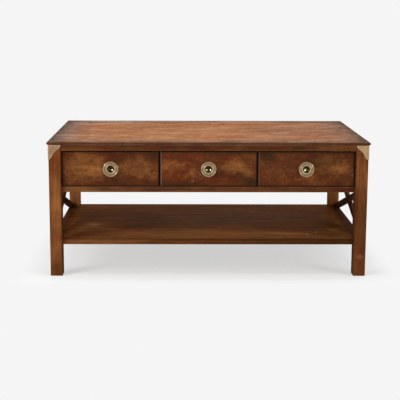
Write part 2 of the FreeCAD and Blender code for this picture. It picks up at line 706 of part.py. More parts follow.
def drawerSlab(name, x):
    body = newBody(name + "_slab")
    outline = newSketch(body, "XZ_Plane", name + "_outline")
    polygon(outline, rectangle("Place.front_width", "Place.front_height"))
    slab = pad(body, outline, "Size.front_thickness", reverse=True)
    rims = edgesWhere(slab, lambda point: near(point.y, 0))
    soften(body, slab, rims, "Size.front_round")
    middle = "Place.front_width / 2"
    for kind, radius, depth in (
        ("dish", "Size.rim_inner_radius + Size.plate_wall + Size.bore_clearance",
         "Size.dish_depth + Size.plate_wall + Size.bore_clearance"),
        ("cup", "Size.cup_radius + Size.plate_wall + Size.bore_clearance",
         "Size.dish_depth + Size.cup_depth + Size.plate_wall + Size.bore_clearance"),
        ("stud", "Size.stud_radius + Size.bore_clearance", "Size.front_thickness"),
    ):
        bore = newSketch(body, "XZ_Plane", f"{name}_{kind}_bore")
        circle(bore, radius, middle, "Place.pull_rise")
        pocket(body, bore, depth)
    moveTo(body, x, "-Place.face_y", "Place.front_base")
    return body


# Ring pulls: a dished plate with a finger cup and a stud, a ring on a pin, and a nut
def pull(bay, x):
    name = "pull_" + bay
    plate = pullPlate(name)
    moveTo(plate, x, "-Place.pull_front_y", "Place.pull_z")
    asNode(plate, name + "_plate")
    ring = pullRing(name)
    moveTo(ring, x, "-Place.pull_front_y + Place.ring_front", "Place.pull_z")
    asNode(ring, name + "_ring")
    pin = rod(name + "_pin", "Size.pin_radius", "Size.pin_length",
              f"{x} - Size.pin_length / 2", "-Place.pull_front_y + Place.pin_depth",
              "Place.pull_z + Size.pin_height", axisY, 90)
    asNode(pin, name + "_pin")
    blank = doc.addObject("Part::Prism", name + "_nut_blank")
    blank.Polygon = nutSides
    bind(blank, Circumradius="Size.nut_radius", Height="Size.nut_thickness")
    turn(blank, axisX, -90)
    moveTo(blank, x, "-Place.front_rear_y", "Place.pull_z")
    thread = rod(name + "_nut_hole", "Size.stud_radius + Size.nut_clearance",
                 "Size.nut_thickness", x, "-Place.front_rear_y", "Place.pull_z", axisX, -90)
    asNode(cut(name + "_nut", blank, [thread]), name + "_nut")


def pullPlate(name):
    body = newBody(name + "_plate_body")
    profile = newSketch(body, "XY_Plane", name + "_profile")
    wallRadius = "Size.rim_inner_radius + Size.plate_wall"
    cupWall = "Size.cup_radius + Size.plate_wall"
    polygon(profile, [
        ("", "Place.cup_floor"),
        ("Size.cup_radius", "Place.cup_floor"),
        ("Size.cup_radius", "Place.dish_floor"),
        ("Size.rim_inner_radius", "Place.dish_floor"),
        ("Size.rim_inner_radius", ""),
        ("Size.pull_radius", ""),
        ("Size.pull_radius", "Size.pull_proud"),
        (wallRadius, "Size.pull_proud"),
        (wallRadius, "Place.dish_floor + Size.plate_wall"),
        (cupWall, "Place.dish_floor + Size.plate_wall"),
        (cupWall, "Place.cup_floor + Size.plate_wall"),
        ("Size.stud_radius", "Place.cup_floor + Size.plate_wall"),
        ("Size.stud_radius", "Place.stud_end"),
        ("", "Place.stud_end"),
    ])
    turned = body.newObject("PartDesign::Revolution", name + "_turned")
    turned.Profile = profile
    turned.ReferenceAxis = (profile, ["V_Axis"])
    doc.recompute()
    rimRadius = evaluate("Size.pull_radius")
    rim = edgesWhere(turned, lambda point: near(point.y, 0) and near(point.x, rimRadius))
    rounded = soften(body, turned, rim, "Size.pull_round")
    cupFloor = evaluate("Place.cup_floor")
    cupRadius = evaluate("Size.cup_radius")
    floorRim = edgesWhere(rounded, lambda point: near(point.y, cupFloor) and near(point.x, cupRadius))
    soften(body, rounded, floorRim, "Size.cup_round")
    hole = newSketch(body, "YZ_Plane", name + "_pin_hole")
    circle(hole, "Size.pin_radius + Size.pin_seat_clearance", "Place.pin_depth", "Size.pin_height")
    pocket(body, hole, "Size.pin_length", middle=True)
    return body


def pullRing(name):
    body = newBody(name + "_ring_body")
    section = newSketch(body, "XY_Plane", name + "_section")
    polygon(section, [
        ("Size.ring_inner_radius", ""),
        ("Size.ring_outer_radius", ""),
        ("Size.ring_outer_radius", "Size.ring_thickness"),
        ("Size.ring_inner_radius", "Size.ring_thickness"),
    ])
    hoop = body.newObject("PartDesign::Revolution", name + "_hoop")
    hoop.Profile = section
    hoop.ReferenceAxis = (section, ["V_Axis"])
    doc.recompute()
    rims = [f"Edge{number}" for number, edge in enumerate(hoop.Shape.Edges, start=1)
            if isinstance(edge.Curve, Part.Circle)]
    soften(body, hoop, rims, "Size.ring_round")
    lug = newSketch(body, "YZ_Plane", name + "_lug")
    ringMiddle = "(Size.ring_inner_radius + Size.ring_outer_radius) / 2"
    polygon(lug, [("", ringMiddle), ("Size.ring_thickness", ringMiddle),
                  ("Size.ring_thickness", "Size.pin_height"), ("", "Size.pin_height")])
    pad(body, lug, "Size.lug_width", middle=True)
    knuckle = newSketch(body, "YZ_Plane", name + "_knuckle")
    circle(knuckle, "Size.ring_thickness / 2", "Size.ring_thickness / 2", "Size.pin_height")
    pad(body, knuckle, "Size.lug_width", middle=True)
    hole = newSketch(body, "YZ_Plane", name + "_knuckle_hole")
    circle(hole, "Size.pin_radius + Size.pin_clearance", "Size.ring_thickness / 2",
           "Size.pin_height")
    pocket(body, hole, "Size.pin_length", middle=True)
    return body


nutSides = 6
bays = [(side, f"Place.{side}_bay_x") for side in ("left", "middle", "right")]

halfWidth = "Size.table_width / 2"
halfDepth = "Size.table_depth / 2"
topEdge("front", "Size.table_width", 0, "-" + halfWidth, "-" + halfDepth)
topEdge("right", "Size.table_depth", 90, halfWidth, "-" + halfDepth)
topEdge("back", "Size.table_width", 180, halfWidth, halfDepth)
topEdge("left", "Size.table_depth", 270, "-" + halfWidth, halfDepth)

frontRail("front_top_rail", "Size.leg_width - Size.apron_setback", "Size.upper_rail_height",
          "-Place.apron_outer_y", "Place.opening_top")
frontRail("front_bottom_rail", "Size.leg_width - Size.rail_setback", "Size.lower_rail_height",
          "-Place.face_y", "Place.apron_base")
casePanels()
dividers()
topScrews(drawerStrips())
drawerStops()
shelf()
crossBars()

bracketX = "(Place.leg_outer_x + Size.bracket_thickness)"
bracketY = "(Place.leg_outer_y + Size.bracket_thickness)"
bracketScrewGroups = []
for corner, degrees, x, y, legX, legY in (
    ("front_left", 0, "-" + bracketX, "-" + bracketY, "-Place.leg_outer_x", "-Place.leg_outer_y"),
    ("front_right", 90, bracketX, "-" + bracketY, "Place.leg_inner_x", "-Place.leg_outer_y"),
    ("back_right", 180, bracketX, bracketY, "Place.leg_inner_x", "Place.leg_inner_y"),
    ("back_left", 270, "-" + bracketX, bracketY, "-Place.leg_outer_x", "Place.leg_inner_y"),
):
    label = "bracket_" + corner
    bracket(label, degrees, x, y)
    screws, pilots = bracketScrews(label, degrees, x, y)
    bracketScrewGroups.append(screws)
    leg("leg_" + corner, legX, legY, pilots)
asNode(group("bracket_screws", bracketScrewGroups), "bracket_screws")

for bay, middle in bays:
    drawer(bay, middle)
    pull(bay, middle)

doc.recompute()

# Nothing is written unless every feature and every node came out right
for item in doc.Objects:
    if "Invalid" in item.State or "Error" in item.State:
        raise RuntimeError(f"{item.Label}: {item.State}")
for node in nodes:
    if node.Shape.isNull() or not node.Shape.isValid():
        raise RuntimeError(node.Label + " has no valid shape")

os.makedirs("parts", exist_ok=True)
for node in nodes:
    node.Shape.exportStep(f"parts/{node.Label}.step")
    print(node.Label, len(node.Shape.Solids), round(node.Shape.Volume))
print(len(nodes), "nodes")
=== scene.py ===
from functools import cache
import math

import bpy
from mathutils import Matrix, Vector


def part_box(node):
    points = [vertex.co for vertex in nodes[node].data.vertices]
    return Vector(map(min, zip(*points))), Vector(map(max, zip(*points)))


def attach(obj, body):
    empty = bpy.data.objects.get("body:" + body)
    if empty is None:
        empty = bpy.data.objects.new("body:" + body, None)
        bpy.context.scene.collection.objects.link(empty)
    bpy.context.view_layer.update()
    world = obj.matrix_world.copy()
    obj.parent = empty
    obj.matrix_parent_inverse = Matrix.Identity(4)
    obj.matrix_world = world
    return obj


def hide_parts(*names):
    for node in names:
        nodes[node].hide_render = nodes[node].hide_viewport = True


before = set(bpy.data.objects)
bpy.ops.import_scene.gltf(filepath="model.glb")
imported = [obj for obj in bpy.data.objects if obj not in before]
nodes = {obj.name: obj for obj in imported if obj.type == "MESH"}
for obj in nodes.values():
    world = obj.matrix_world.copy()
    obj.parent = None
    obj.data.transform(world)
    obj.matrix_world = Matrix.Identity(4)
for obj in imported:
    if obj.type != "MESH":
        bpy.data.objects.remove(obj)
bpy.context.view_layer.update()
scene = bpy.context.scene
scene.view_settings.view_transform = "Standard"
quarter = math.pi / 2
print("frame loaded:", len(nodes), "nodes")

# Camera, set up as the photograph was taken
cameraSetup = {
    "place": (-0.0931, -3.8944, 0.9188),
    "turnRight": 0.731,  # degrees
    "tiltDown": 10.06,
    "roll": 0.213,
    "lens": 94.914,  # mm, on a 36 mm sensor
    "shift": (0.01352, -0.01528),
}


def addCamera(setup):
    data = bpy.data.cameras.new("Camera")
    data.sensor_width = 36
    data.lens = setup["lens"]
    data.shift_x, data.shift_y = setup["shift"]
    data.clip_end = 200
    camera = bpy.data.objects.new("Camera", data)
    scene.collection.objects.link(camera)
    camera.matrix_world = (
        Matrix.Translation(setup["place"])
        @ Matrix.Rotation(-math.radians(setup["turnRight"]), 4, "Z")
        @ Matrix.Rotation(math.radians(90 - setup["tiltDown"]), 4, "X")
        @ Matrix.Rotation(math.radians(setup["roll"]), 4, "Z")
    )
    scene.camera = camera


addCamera(cameraSetup)


# Short forms for building node trees
def node(tree, kind, values=None, **settings):
    made = tree.nodes.new("ShaderNode" + kind)
    for key, value in settings.items():
        setattr(made, key, value)
    for key, value in (values or {}).items():
        socket = made.inputs[key]
        if isinstance(value, bpy.types.NodeSocket):
            tree.links.new(value, socket)
        else:
            socket.default_value = (*value, 1) if socket.type == "RGBA" else value
    return made


def calc(tree, operation, *values, clamp=False):
    made = node(tree, "Math", dict(enumerate(values)), operation=operation, use_clamp=clamp)
    return made.outputs[0]


def vectorCalc(tree, operation, *values):
    made = node(tree, "VectorMath", dict(enumerate(values)), operation=operation)
    return made.outputs["Value" if operation in ("DOT_PRODUCT", "LENGTH") else "Vector"]


def blendColors(tree, factor, first, second, mode="MIX"):
    values = {0: factor, 6: first, 7: second}  # the Mix node's sockets for colours
    return node(tree, "Mix", values, data_type="RGBA", blend_type=mode).outputs[2]


def shadeBy(tree, color, share):
    return blendColors(tree, 1.0, color, share, "MULTIPLY")


# Darkens a colour by a mask times a share
def darken(tree, color, mask, share):
    return shadeBy(tree, color, calc(tree, "SUBTRACT", 1.0, calc(tree, "MULTIPLY", mask, share)))


# Lays one colour over another, as strongly as a mask times a share
def cover(tree, mask, share, under, over):
    return blendColors(tree, calc(tree, "MULTIPLY", mask, share), under, over)


# Swings about a base as a noise swings about its middle
def swing(tree, value, amount, base):
    return calc(tree, "MULTIPLY_ADD", calc(tree, "SUBTRACT", value, 0.5), amount, base)


def remap(tree, value, low, high, newLow=0.0, newHigh=1.0):
    values = {"Value": value, "From Min": low, "From Max": high, "To Min": newLow, "To Max": newHigh}
    return node(tree, "MapRange", values, interpolation_type="SMOOTHSTEP").outputs[0]


def noise(tree, vector, scale, detail=2.0, roughness=0.5, distortion=0.0, output=0):
    values = {"Vector": vector, "Scale": scale, "Detail": detail, "Roughness": roughness,
              "Distortion": distortion}
    return node(tree, "TexNoise", values).outputs[output]


def stretch(tree, vector, along, across):
    scale = node(tree, "CombineXYZ", {0: along, 1: across, 2: across}).outputs[0]
    return vectorCalc(tree, "MULTIPLY", vector, scale)


def newMaterial(name):
    material = bpy.data.materials.new(name)
    material.use_nodes = True
    tree = material.node_tree
    tree.nodes.clear()
    return material, tree, node(tree, "TexCoord").outputs["Object"]


# Studio: soft boxes on both sides, above and behind, in a pale room with a pale floor
studio = {
    "pale": 0.913,  # backdrop and floor as the camera sees them
    "roomLight": 0.66,  # what the room gives the object
    "floorFlat": (0.64, 0.48),  # how far the floor's shadow is lifted, under the table and near its feet
    "floorInside": (-0.22, -0.02),  # metres in from the feet, where the one turns into the other
    "floorFade": (0.03, 0.13),  # metres out from the feet, where the shadow ends
    "feet": (0.545, 0.345),
    "floorSize": 120.0,
    "boxes": [  # name, place, aimed at, size, watts
        ("leftBox", (-1.8, -1.5, 1.1), (0, -0.3, 0.3), (0.8, 0.7), 22),
        ("rightBox", (1.9, -1.5, 1.0), (0, -0.3, 0.3), (0.7, 0.6), 12),
        ("topBox", (-0.1, -0.5, 3.2), (0, 0, 0.4), (2.6, 1.6), 26),
        ("rearBox", (0.6, 3.0, 2.2), (0, 0, 0.3), (2.4, 1.4), 14),
    ],
}


def seenRay(tree):
    path = node(tree, "LightPath").outputs
    seen = calc(tree, "ADD", path["Is Camera Ray"], path["Is Glossy Ray"], clamp=True)
    return calc(tree, "ADD", seen, path["Is Transmission Ray"], clamp=True)


def addRoom(setup):
    world = bpy.data.worlds.new("Room")
    scene.world = world
    world.use_nodes = True
    tree = world.node_tree
    tree.nodes.clear()
    extra = setup["pale"] - setup["roomLight"]
    strength = calc(tree, "MULTIPLY_ADD", seenRay(tree), extra, setup["roomLight"])
    back = node(tree, "Background", {"Color": (1, 1, 1), "Strength": strength})
    node(tree, "OutputWorld", {"Surface": back.outputs[0]})


def addLamps(setup):
    for name, place, target, size, power in setup["boxes"]:
        data = bpy.data.lights.new(name, "AREA")
        data.shape = "RECTANGLE"
        data.size, data.size_y = size
        data.energy = power
        lamp = bpy.data.objects.new(name, data)
        scene.collection.objects.link(lamp)
        aim = Vector(target) - Vector(place)
        lamp.matrix_world = Matrix.Translation(place) @ aim.to_track_quat("-Z", "Y").to_matrix().to_4x4()


def addFloor(setup):
    bpy.ops.mesh.primitive_plane_add(size=setup["floorSize"])
    floor = bpy.context.active_object
    floor.name = "floor"
    material, tree, coords = newMaterial("paleFloor")
    parts = node(tree, "SeparateXYZ", {0: coords}).outputs
    aside, ahead = [calc(tree, "SUBTRACT", calc(tree, "ABSOLUTE", parts[axis]), setup["feet"][axis])
                    for axis in (0, 1)]
    away = calc(tree, "MAXIMUM", aside, ahead)
    under = remap(tree, ahead, *setup["floorInside"], *setup["floorFlat"])
    flatShare = remap(tree, away, *setup["floorFade"], under, 1.0)
    flatShare = calc(tree, "MULTIPLY", flatShare, seenRay(tree), clamp=True)
    matte = node(tree, "BsdfDiffuse", {"Color": (setup["pale"],) * 3})
    flat = node(tree, "Emission", {"Color": (1, 1, 1), "Strength": setup["pale"]})
    mixed = node(tree, "MixShader", {0: flatShare, 1: matte.outputs[0], 2: flat.outputs[0]})
    node(tree, "OutputMaterial", {"Surface": mixed.outputs[0]})
    floor.data.materials.append(material)


addRoom(studio)
addLamps(studio)
addFloor(studio)
print("room, lamps and floor are set")


# Shader groups shared by the finishes, with their sockets listed by kind
def newGroup(name, inputs, outputs, usual=()):
    tree = bpy.data.node_groups.new(name, "ShaderNodeTree")
    for side, kinds in (("INPUT", inputs), ("OUTPUT", outputs)):
        for kind, titles in kinds.items():
            for title in titles:
                socket = tree.interface.new_socket(title, in_out=side, socket_type="NodeSocket" + kind)
                if title in usual:
                    socket.default_value = usual[title]
    given = tree.nodes.new("NodeGroupInput").outputs
    result = tree.nodes.new("NodeGroupOutput").inputs
    return tree, given, lambda title, value: tree.links.new(value, result[title])


def useGroup(tree, name, values):
    return node(tree, "Group", values, node_tree=groups[name]).outputs


edgeGain = 3.4  # how soon a turned normal counts as a full edge


# How far a rounded normal has turned from the face's own
def turnedNormal(tree, rounded):
    plain = node(tree, "NewGeometry").outputs["Normal"]
    off = calc(tree, "SUBTRACT", 1.0, vectorCalc(tree, "DOT_PRODUCT", rounded, plain))
    return calc(tree, "MULTIPLY", off, edgeGain, clamp=True)


# 1 at an edge, fading to 0 over the given reach
def makeEdgeGroup():
    tree, given, give = newGroup("edgeMask", {"Float": ["Reach"]}, {"Float": ["Mask"]})
    rounded = node(tree, "Bevel", {"Radius": given["Reach"]}, samples=6).outputs[0]
    give("Mask", turnedNormal(tree, rounded))
    return tree


# Fades towards the sides of a rectangle lying in X and Y, and another one at its corners
def makeBorderGroup():
    tree, given, give = newGroup("borderFade", {
        "Vector": ["Vector"],
        "Float": ["Half Length", "Half Width", "End Reach", "Side Reach", "Corner Reach", "Uneven",
                  "Uneven Scale"],
    }, {"Float": ["Mask", "Corner"]}, {"Corner Reach": 0.05, "Uneven Scale": 11.0})
    parts = node(tree, "SeparateXYZ", {0: given["Vector"]}).outputs
    wander = noise(tree, given["Vector"], given["Uneven Scale"], detail=3.0, roughness=0.6)
    wander = swing(tree, wander, given["Uneven"], 1.0)
    fades, corners = [], []
    for axis, half, reach in ((0, "Half Length", "End Reach"), (1, "Half Width", "Side Reach")):
        side = calc(tree, "SUBTRACT", given[half], calc(tree, "ABSOLUTE", parts[axis]))
        for masks, span in ((fades, reach), (corners, "Corner Reach")):
            near = calc(tree, "DIVIDE", side, calc(tree, "MULTIPLY", given[span], wander))
            masks.append(remap(tree, near, 0.0, 1.0, 1.0, 0.0))
    give("Mask", calc(tree, "MAXIMUM", *fades))
    give("Corner", calc(tree, "MULTIPLY", *corners))
    return tree


spotCore = 0.15  # share of its reach over which a spot is full


# A soft round patch
def makeSpotGroup():
    tree, given, give = newGroup("softSpot", {"Vector": ["Vector", "Place", "Reach"]},
                                 {"Float": ["Mask"]})
    away = vectorCalc(tree, "SUBTRACT", given["Vector"], given["Place"])
    far = vectorCalc(tree, "LENGTH", vectorCalc(tree, "DIVIDE", away, given["Reach"]))
    give("Mask", remap(tree, far, spotCore, 1.0, 1.0, 0.0))
    return tree


woodTones = (0.5, 1.5)  # what the tone of a wood runs between
woodGrain = {  # a noise is its scale, detail, roughness and distortion, a span is its start and end
    "bands": (1.0, 5.0, 0.58, 0.6), "streaks": (1.0, 5.0, 0.62, 0.3), "streakHeight": 0.5,
    "pores": (1.0, 3.0, 0.6), "poreSize": (40.0, 1100.0), "poreSpan": (0.32, 0.5),
    "drift": (1.0, 3.0, 0.6, 0.6), "driftSize": (5.0, 9.0), "driftSpan": (0.38, 0.62),
    "mottle": (6.0, 0.6, 1.0),  # after the scale that each finish gives
    "toneSpan": (0.25, 0.75), "middleSpan": (0.3, 0.5), "lightSpan": (0.5, 0.7),
}


# Stained wood with its grain along X: broad bands, streaks, mottling, drifting hue, open pores
def makeWoodGroup(grain):
    tree, given, give = newGroup("stainedWood", {
        "Vector": ["Vector"], "Color": ["Dark", "Middle", "Light", "Tint"],
        "Float": ["Band Length", "Band Width", "Streaks", "Streak Length", "Streak Width", "Mottle",
                  "Mottle Scale", "Pores", "Gloss Break", "Roughness"],
    }, {"Color": ["Color"], "Float": ["Roughness", "Height", "Tone"]}, {"Gloss Break": 0.12})
    vector = given["Vector"]
    bandVector = stretch(tree, vector, given["Band Length"], given["Band Width"])
    bands = noise(tree, bandVector, *grain["bands"])
    streakVector = stretch(tree, vector, given["Streak Length"], given["Streak Width"])
    streaks = noise(tree, streakVector, *grain["streaks"])
    pores = noise(tree, stretch(tree, vector, *grain["poreSize"]), *grain["pores"])
    mottle = noise(tree, vector, given["Mottle Scale"], *grain["mottle"])
    tone = swing(tree, streaks, given["Streaks"], bands)
    tone = swing(tree, mottle, given["Mottle"], tone)
    give("Tone", remap(tree, tone, *grain["toneSpan"], *woodTones))
    color = blendColors(tree, remap(tree, tone, *grain["middleSpan"]), given["Dark"], given["Middle"])
    color = blendColors(tree, remap(tree, tone, *grain["lightSpan"]), color, given["Light"])
    drift = noise(tree, stretch(tree, vector, *grain["driftSize"]), *grain["drift"])
    tinted = shadeBy(tree, color, given["Tint"])
    color = blendColors(tree, remap(tree, drift, *grain["driftSpan"]), color, tinted)
    openPores = remap(tree, pores, *grain["poreSpan"], 1.0, 0.0)
    give("Color", darken(tree, color, openPores, given["Pores"]))
    rough = swing(tree, pores, given["Gloss Break"], given["Roughness"])
    give("Roughness", swing(tree, mottle, given["Gloss Break"], rough))
    give("Height", calc(tree, "MULTIPLY_ADD", streaks, grain["streakHeight"], pores))
    return tree


burrFigure = {  # its noises and spans in the same form
    "drift": (14.0, 3.0, 0.5, 0.0), "driftReach": (0.05, 0.05, 0.05),
    "patches": (9.0, 0.66, 0.6), "patchSize": (0.6, 1.1), "swirl": (48.0, 4.0, 0.6, 2.2),
    "cells": 85.0, "eyeSpan": (0.08, 0.3), "eyeGate": (21.0, 2.0), "eyeGateSpan": (0.5, 0.66),
    "ridges": (58.0, 2.0, 0.5, 1.0), "lineSpan": (0.0, 0.035),
    "lineGate": (17.0, 2.0, 0.5, 0.4), "lineGateSpan": (0.52, 0.62),
}


# Burr veneer: soft patches, tight swirls, small dark eyes and pale squiggles
def makeBurrGroup(burr):
    tree, given, give = newGroup("burrFigure", {"Vector": ["Vector"], "Float": ["Patch Scale"]}, {
        "Float": ["Patches", "Swirl", "Eyes", "Squiggles"]}, {"Patch Scale": 14.0})
    vector = given["Vector"]
    drift = vectorCalc(tree, "SUBTRACT", noise(tree, vector, *burr["drift"], output=1), (0.5, 0.5, 0.5))
    drift = vectorCalc(tree, "MULTIPLY_ADD", drift, burr["driftReach"], vector)
    patchVector = stretch(tree, drift, *burr["patchSize"])
    give("Patches", noise(tree, patchVector, given["Patch Scale"], *burr["patches"]))
    give("Swirl", noise(tree, drift, *burr["swirl"]))
    cells = node(tree, "TexVoronoi", {"Vector": drift, "Scale": burr["cells"], "Randomness": 1.0},
                 feature="SMOOTH_F1").outputs["Distance"]
    ridges = calc(tree, "SUBTRACT", noise(tree, drift, *burr["ridges"]), 0.5)
    ridges = calc(tree, "ABSOLUTE", ridges)
    for figure, kind, title in ((cells, "eye", "Eyes"), (ridges, "line", "Squiggles")):
        shape = remap(tree, figure, *burr[kind + "Span"], 1.0, 0.0)
        gate = remap(tree, noise(tree, vector, *burr[kind + "Gate"]), *burr[kind + "GateSpan"])
        give(title, calc(tree, "MULTIPLY", shape, gate))
    return tree


brassAgingAndShade = {  # the same again, and how strongly they show
    "cloud": (110.0, 5.0, 0.62, 0.8), "cloudSpan": (0.35, 0.7), "cloudHeight": 0.6,
    "fine": (900.0, 3.0, 0.6), "hollowSpan": (0.45, 0.95), "deepSpan": (0.1, 0.62),
    "agedRoughness": 0.18, "fineRoughness": 0.12,
}


# Brass with patina in its hollows and painted shade deepest in them, rubbed bright on its edges, partly
# wear and partly a painted highlight
def makeBrassGroup(aging):
    tree, given, give = newGroup("agedBrassAndPaintedLight", {
        "Vector": ["Vector"], "Color": ["Bright", "Patina", "Rubbedhighlight", "Deep"],
        "Float": ["Age", "Hollow Reach", "Edge", "Roughness"],
    }, {"Color": ["Color"], "Float": ["Roughness", "Height"]})
    vector = given["Vector"]
    cloud = noise(tree, vector, *aging["cloud"])
    fine = noise(tree, vector, *aging["fine"])
    hollow = node(tree, "AmbientOcclusion", {"Distance": given["Hollow Reach"]}, samples=8,
                  only_local=True).outputs["AO"]
    aged = calc(tree, "MULTIPLY", remap(tree, cloud, *aging["cloudSpan"]), given["Age"])
    color = blendColors(tree, aged, given["Bright"], given["Patina"])
    # edges rubbed bright: partly wear, partly a painted highlight
    color = blendColors(tree, given["Edge"], color, given["Rubbedhighlight"])
    # patina in the hollows, then near black deepest in them: painted shade
    for span, dark in (("hollowSpan", "Patina"), ("deepSpan", "Deep")):
        color = blendColors(tree, remap(tree, hollow, *aging[span], 1.0, 0.0), color, given[dark])
    give("Color", color)
    rough = calc(tree, "MULTIPLY_ADD", aged, aging["agedRoughness"], given["Roughness"])
    give("Roughness", swing(tree, fine, aging["fineRoughness"], rough))
    give("Height", calc(tree, "MULTIPLY_ADD", cloud, aging["cloudHeight"], fine))
    return tree


groups = {
    "edge": makeEdgeGroup(),
    "border": makeBorderGroup(),
    "spot": makeSpotGroup(),
    "wood": makeWoodGroup(woodGrain),
    "burr": makeBurrGroup(burrFigure),
    "brass": makeBrassGroup(brassAgingAndShade),
}


def softSpot(tree, vector, place, reach):
    return useGroup(tree, "spot", {"Vector": vector, "Place": place, "Reach": reach})["Mask"]


# Local stains, painted light and painted shade: each a soft spot of another colour, with the grain still
# showing where a tone is given
def addStainsAndLight(tree, vector, color, stainsAndLight, tone=None):
    for place, reach, spotColor, share in stainsAndLight:
        spotColor = shadeBy(tree, spotColor, tone) if tone else spotColor
        color = cover(tree, softSpot(tree, vector, place, reach), share, color, spotColor)
    return color


# Rows of stains and painted light for a flat face, from rows that lie in it
def flatStainsAndLight(rows, level, deep):
    return [((*place, level), (*reach, deep), spotColor, share) for place, reach, spotColor, share in rows]


reliefHeight = 0.0004  # metres, at full strength


# Ends a material: pale arrises (partly wear, partly painted highlight), relief and the shader with its
# plain values
def finishMaterial(tree, color, base, look):
    arris = node(tree, "Bevel", {"Radius": look["arris"]}, samples=4).outputs[0]
    if look.get("wearAndHighlight"):
        color = cover(tree, turnedNormal(tree, arris), look["wearAndHighlightShare"], color, look["wearAndHighlight"])
    bump = node(tree, "Bump", {"Height": base["Height"], "Strength": look["relief"],
                               "Distance": reliefHeight, "Normal": arris}).outputs[0]
    shader = node(tree, "BsdfPrincipled", {"Base Color": color, "Roughness": base["Roughness"],
                                           "Normal": bump, **look["shader"]})
    node(tree, "OutputMaterial", {"Surface": shader.outputs[0]})


lacquer = {"Specular IOR Level": 0.04, "Coat Weight": 0.07, "Coat Roughness": 0.2}
dullLacquer = {"Specular IOR Level": 0.0, "Coat Weight": 0.03, "Coat Roughness": 0.3}
dimLacquer = {"Specular IOR Level": 0.0, "Coat Weight": 0.012, "Coat Roughness": 0.3}
bareWood = {"Specular IOR Level": 0.2}

shelfLevel, topLevel = 0.125, 0.466  # metres above the floor

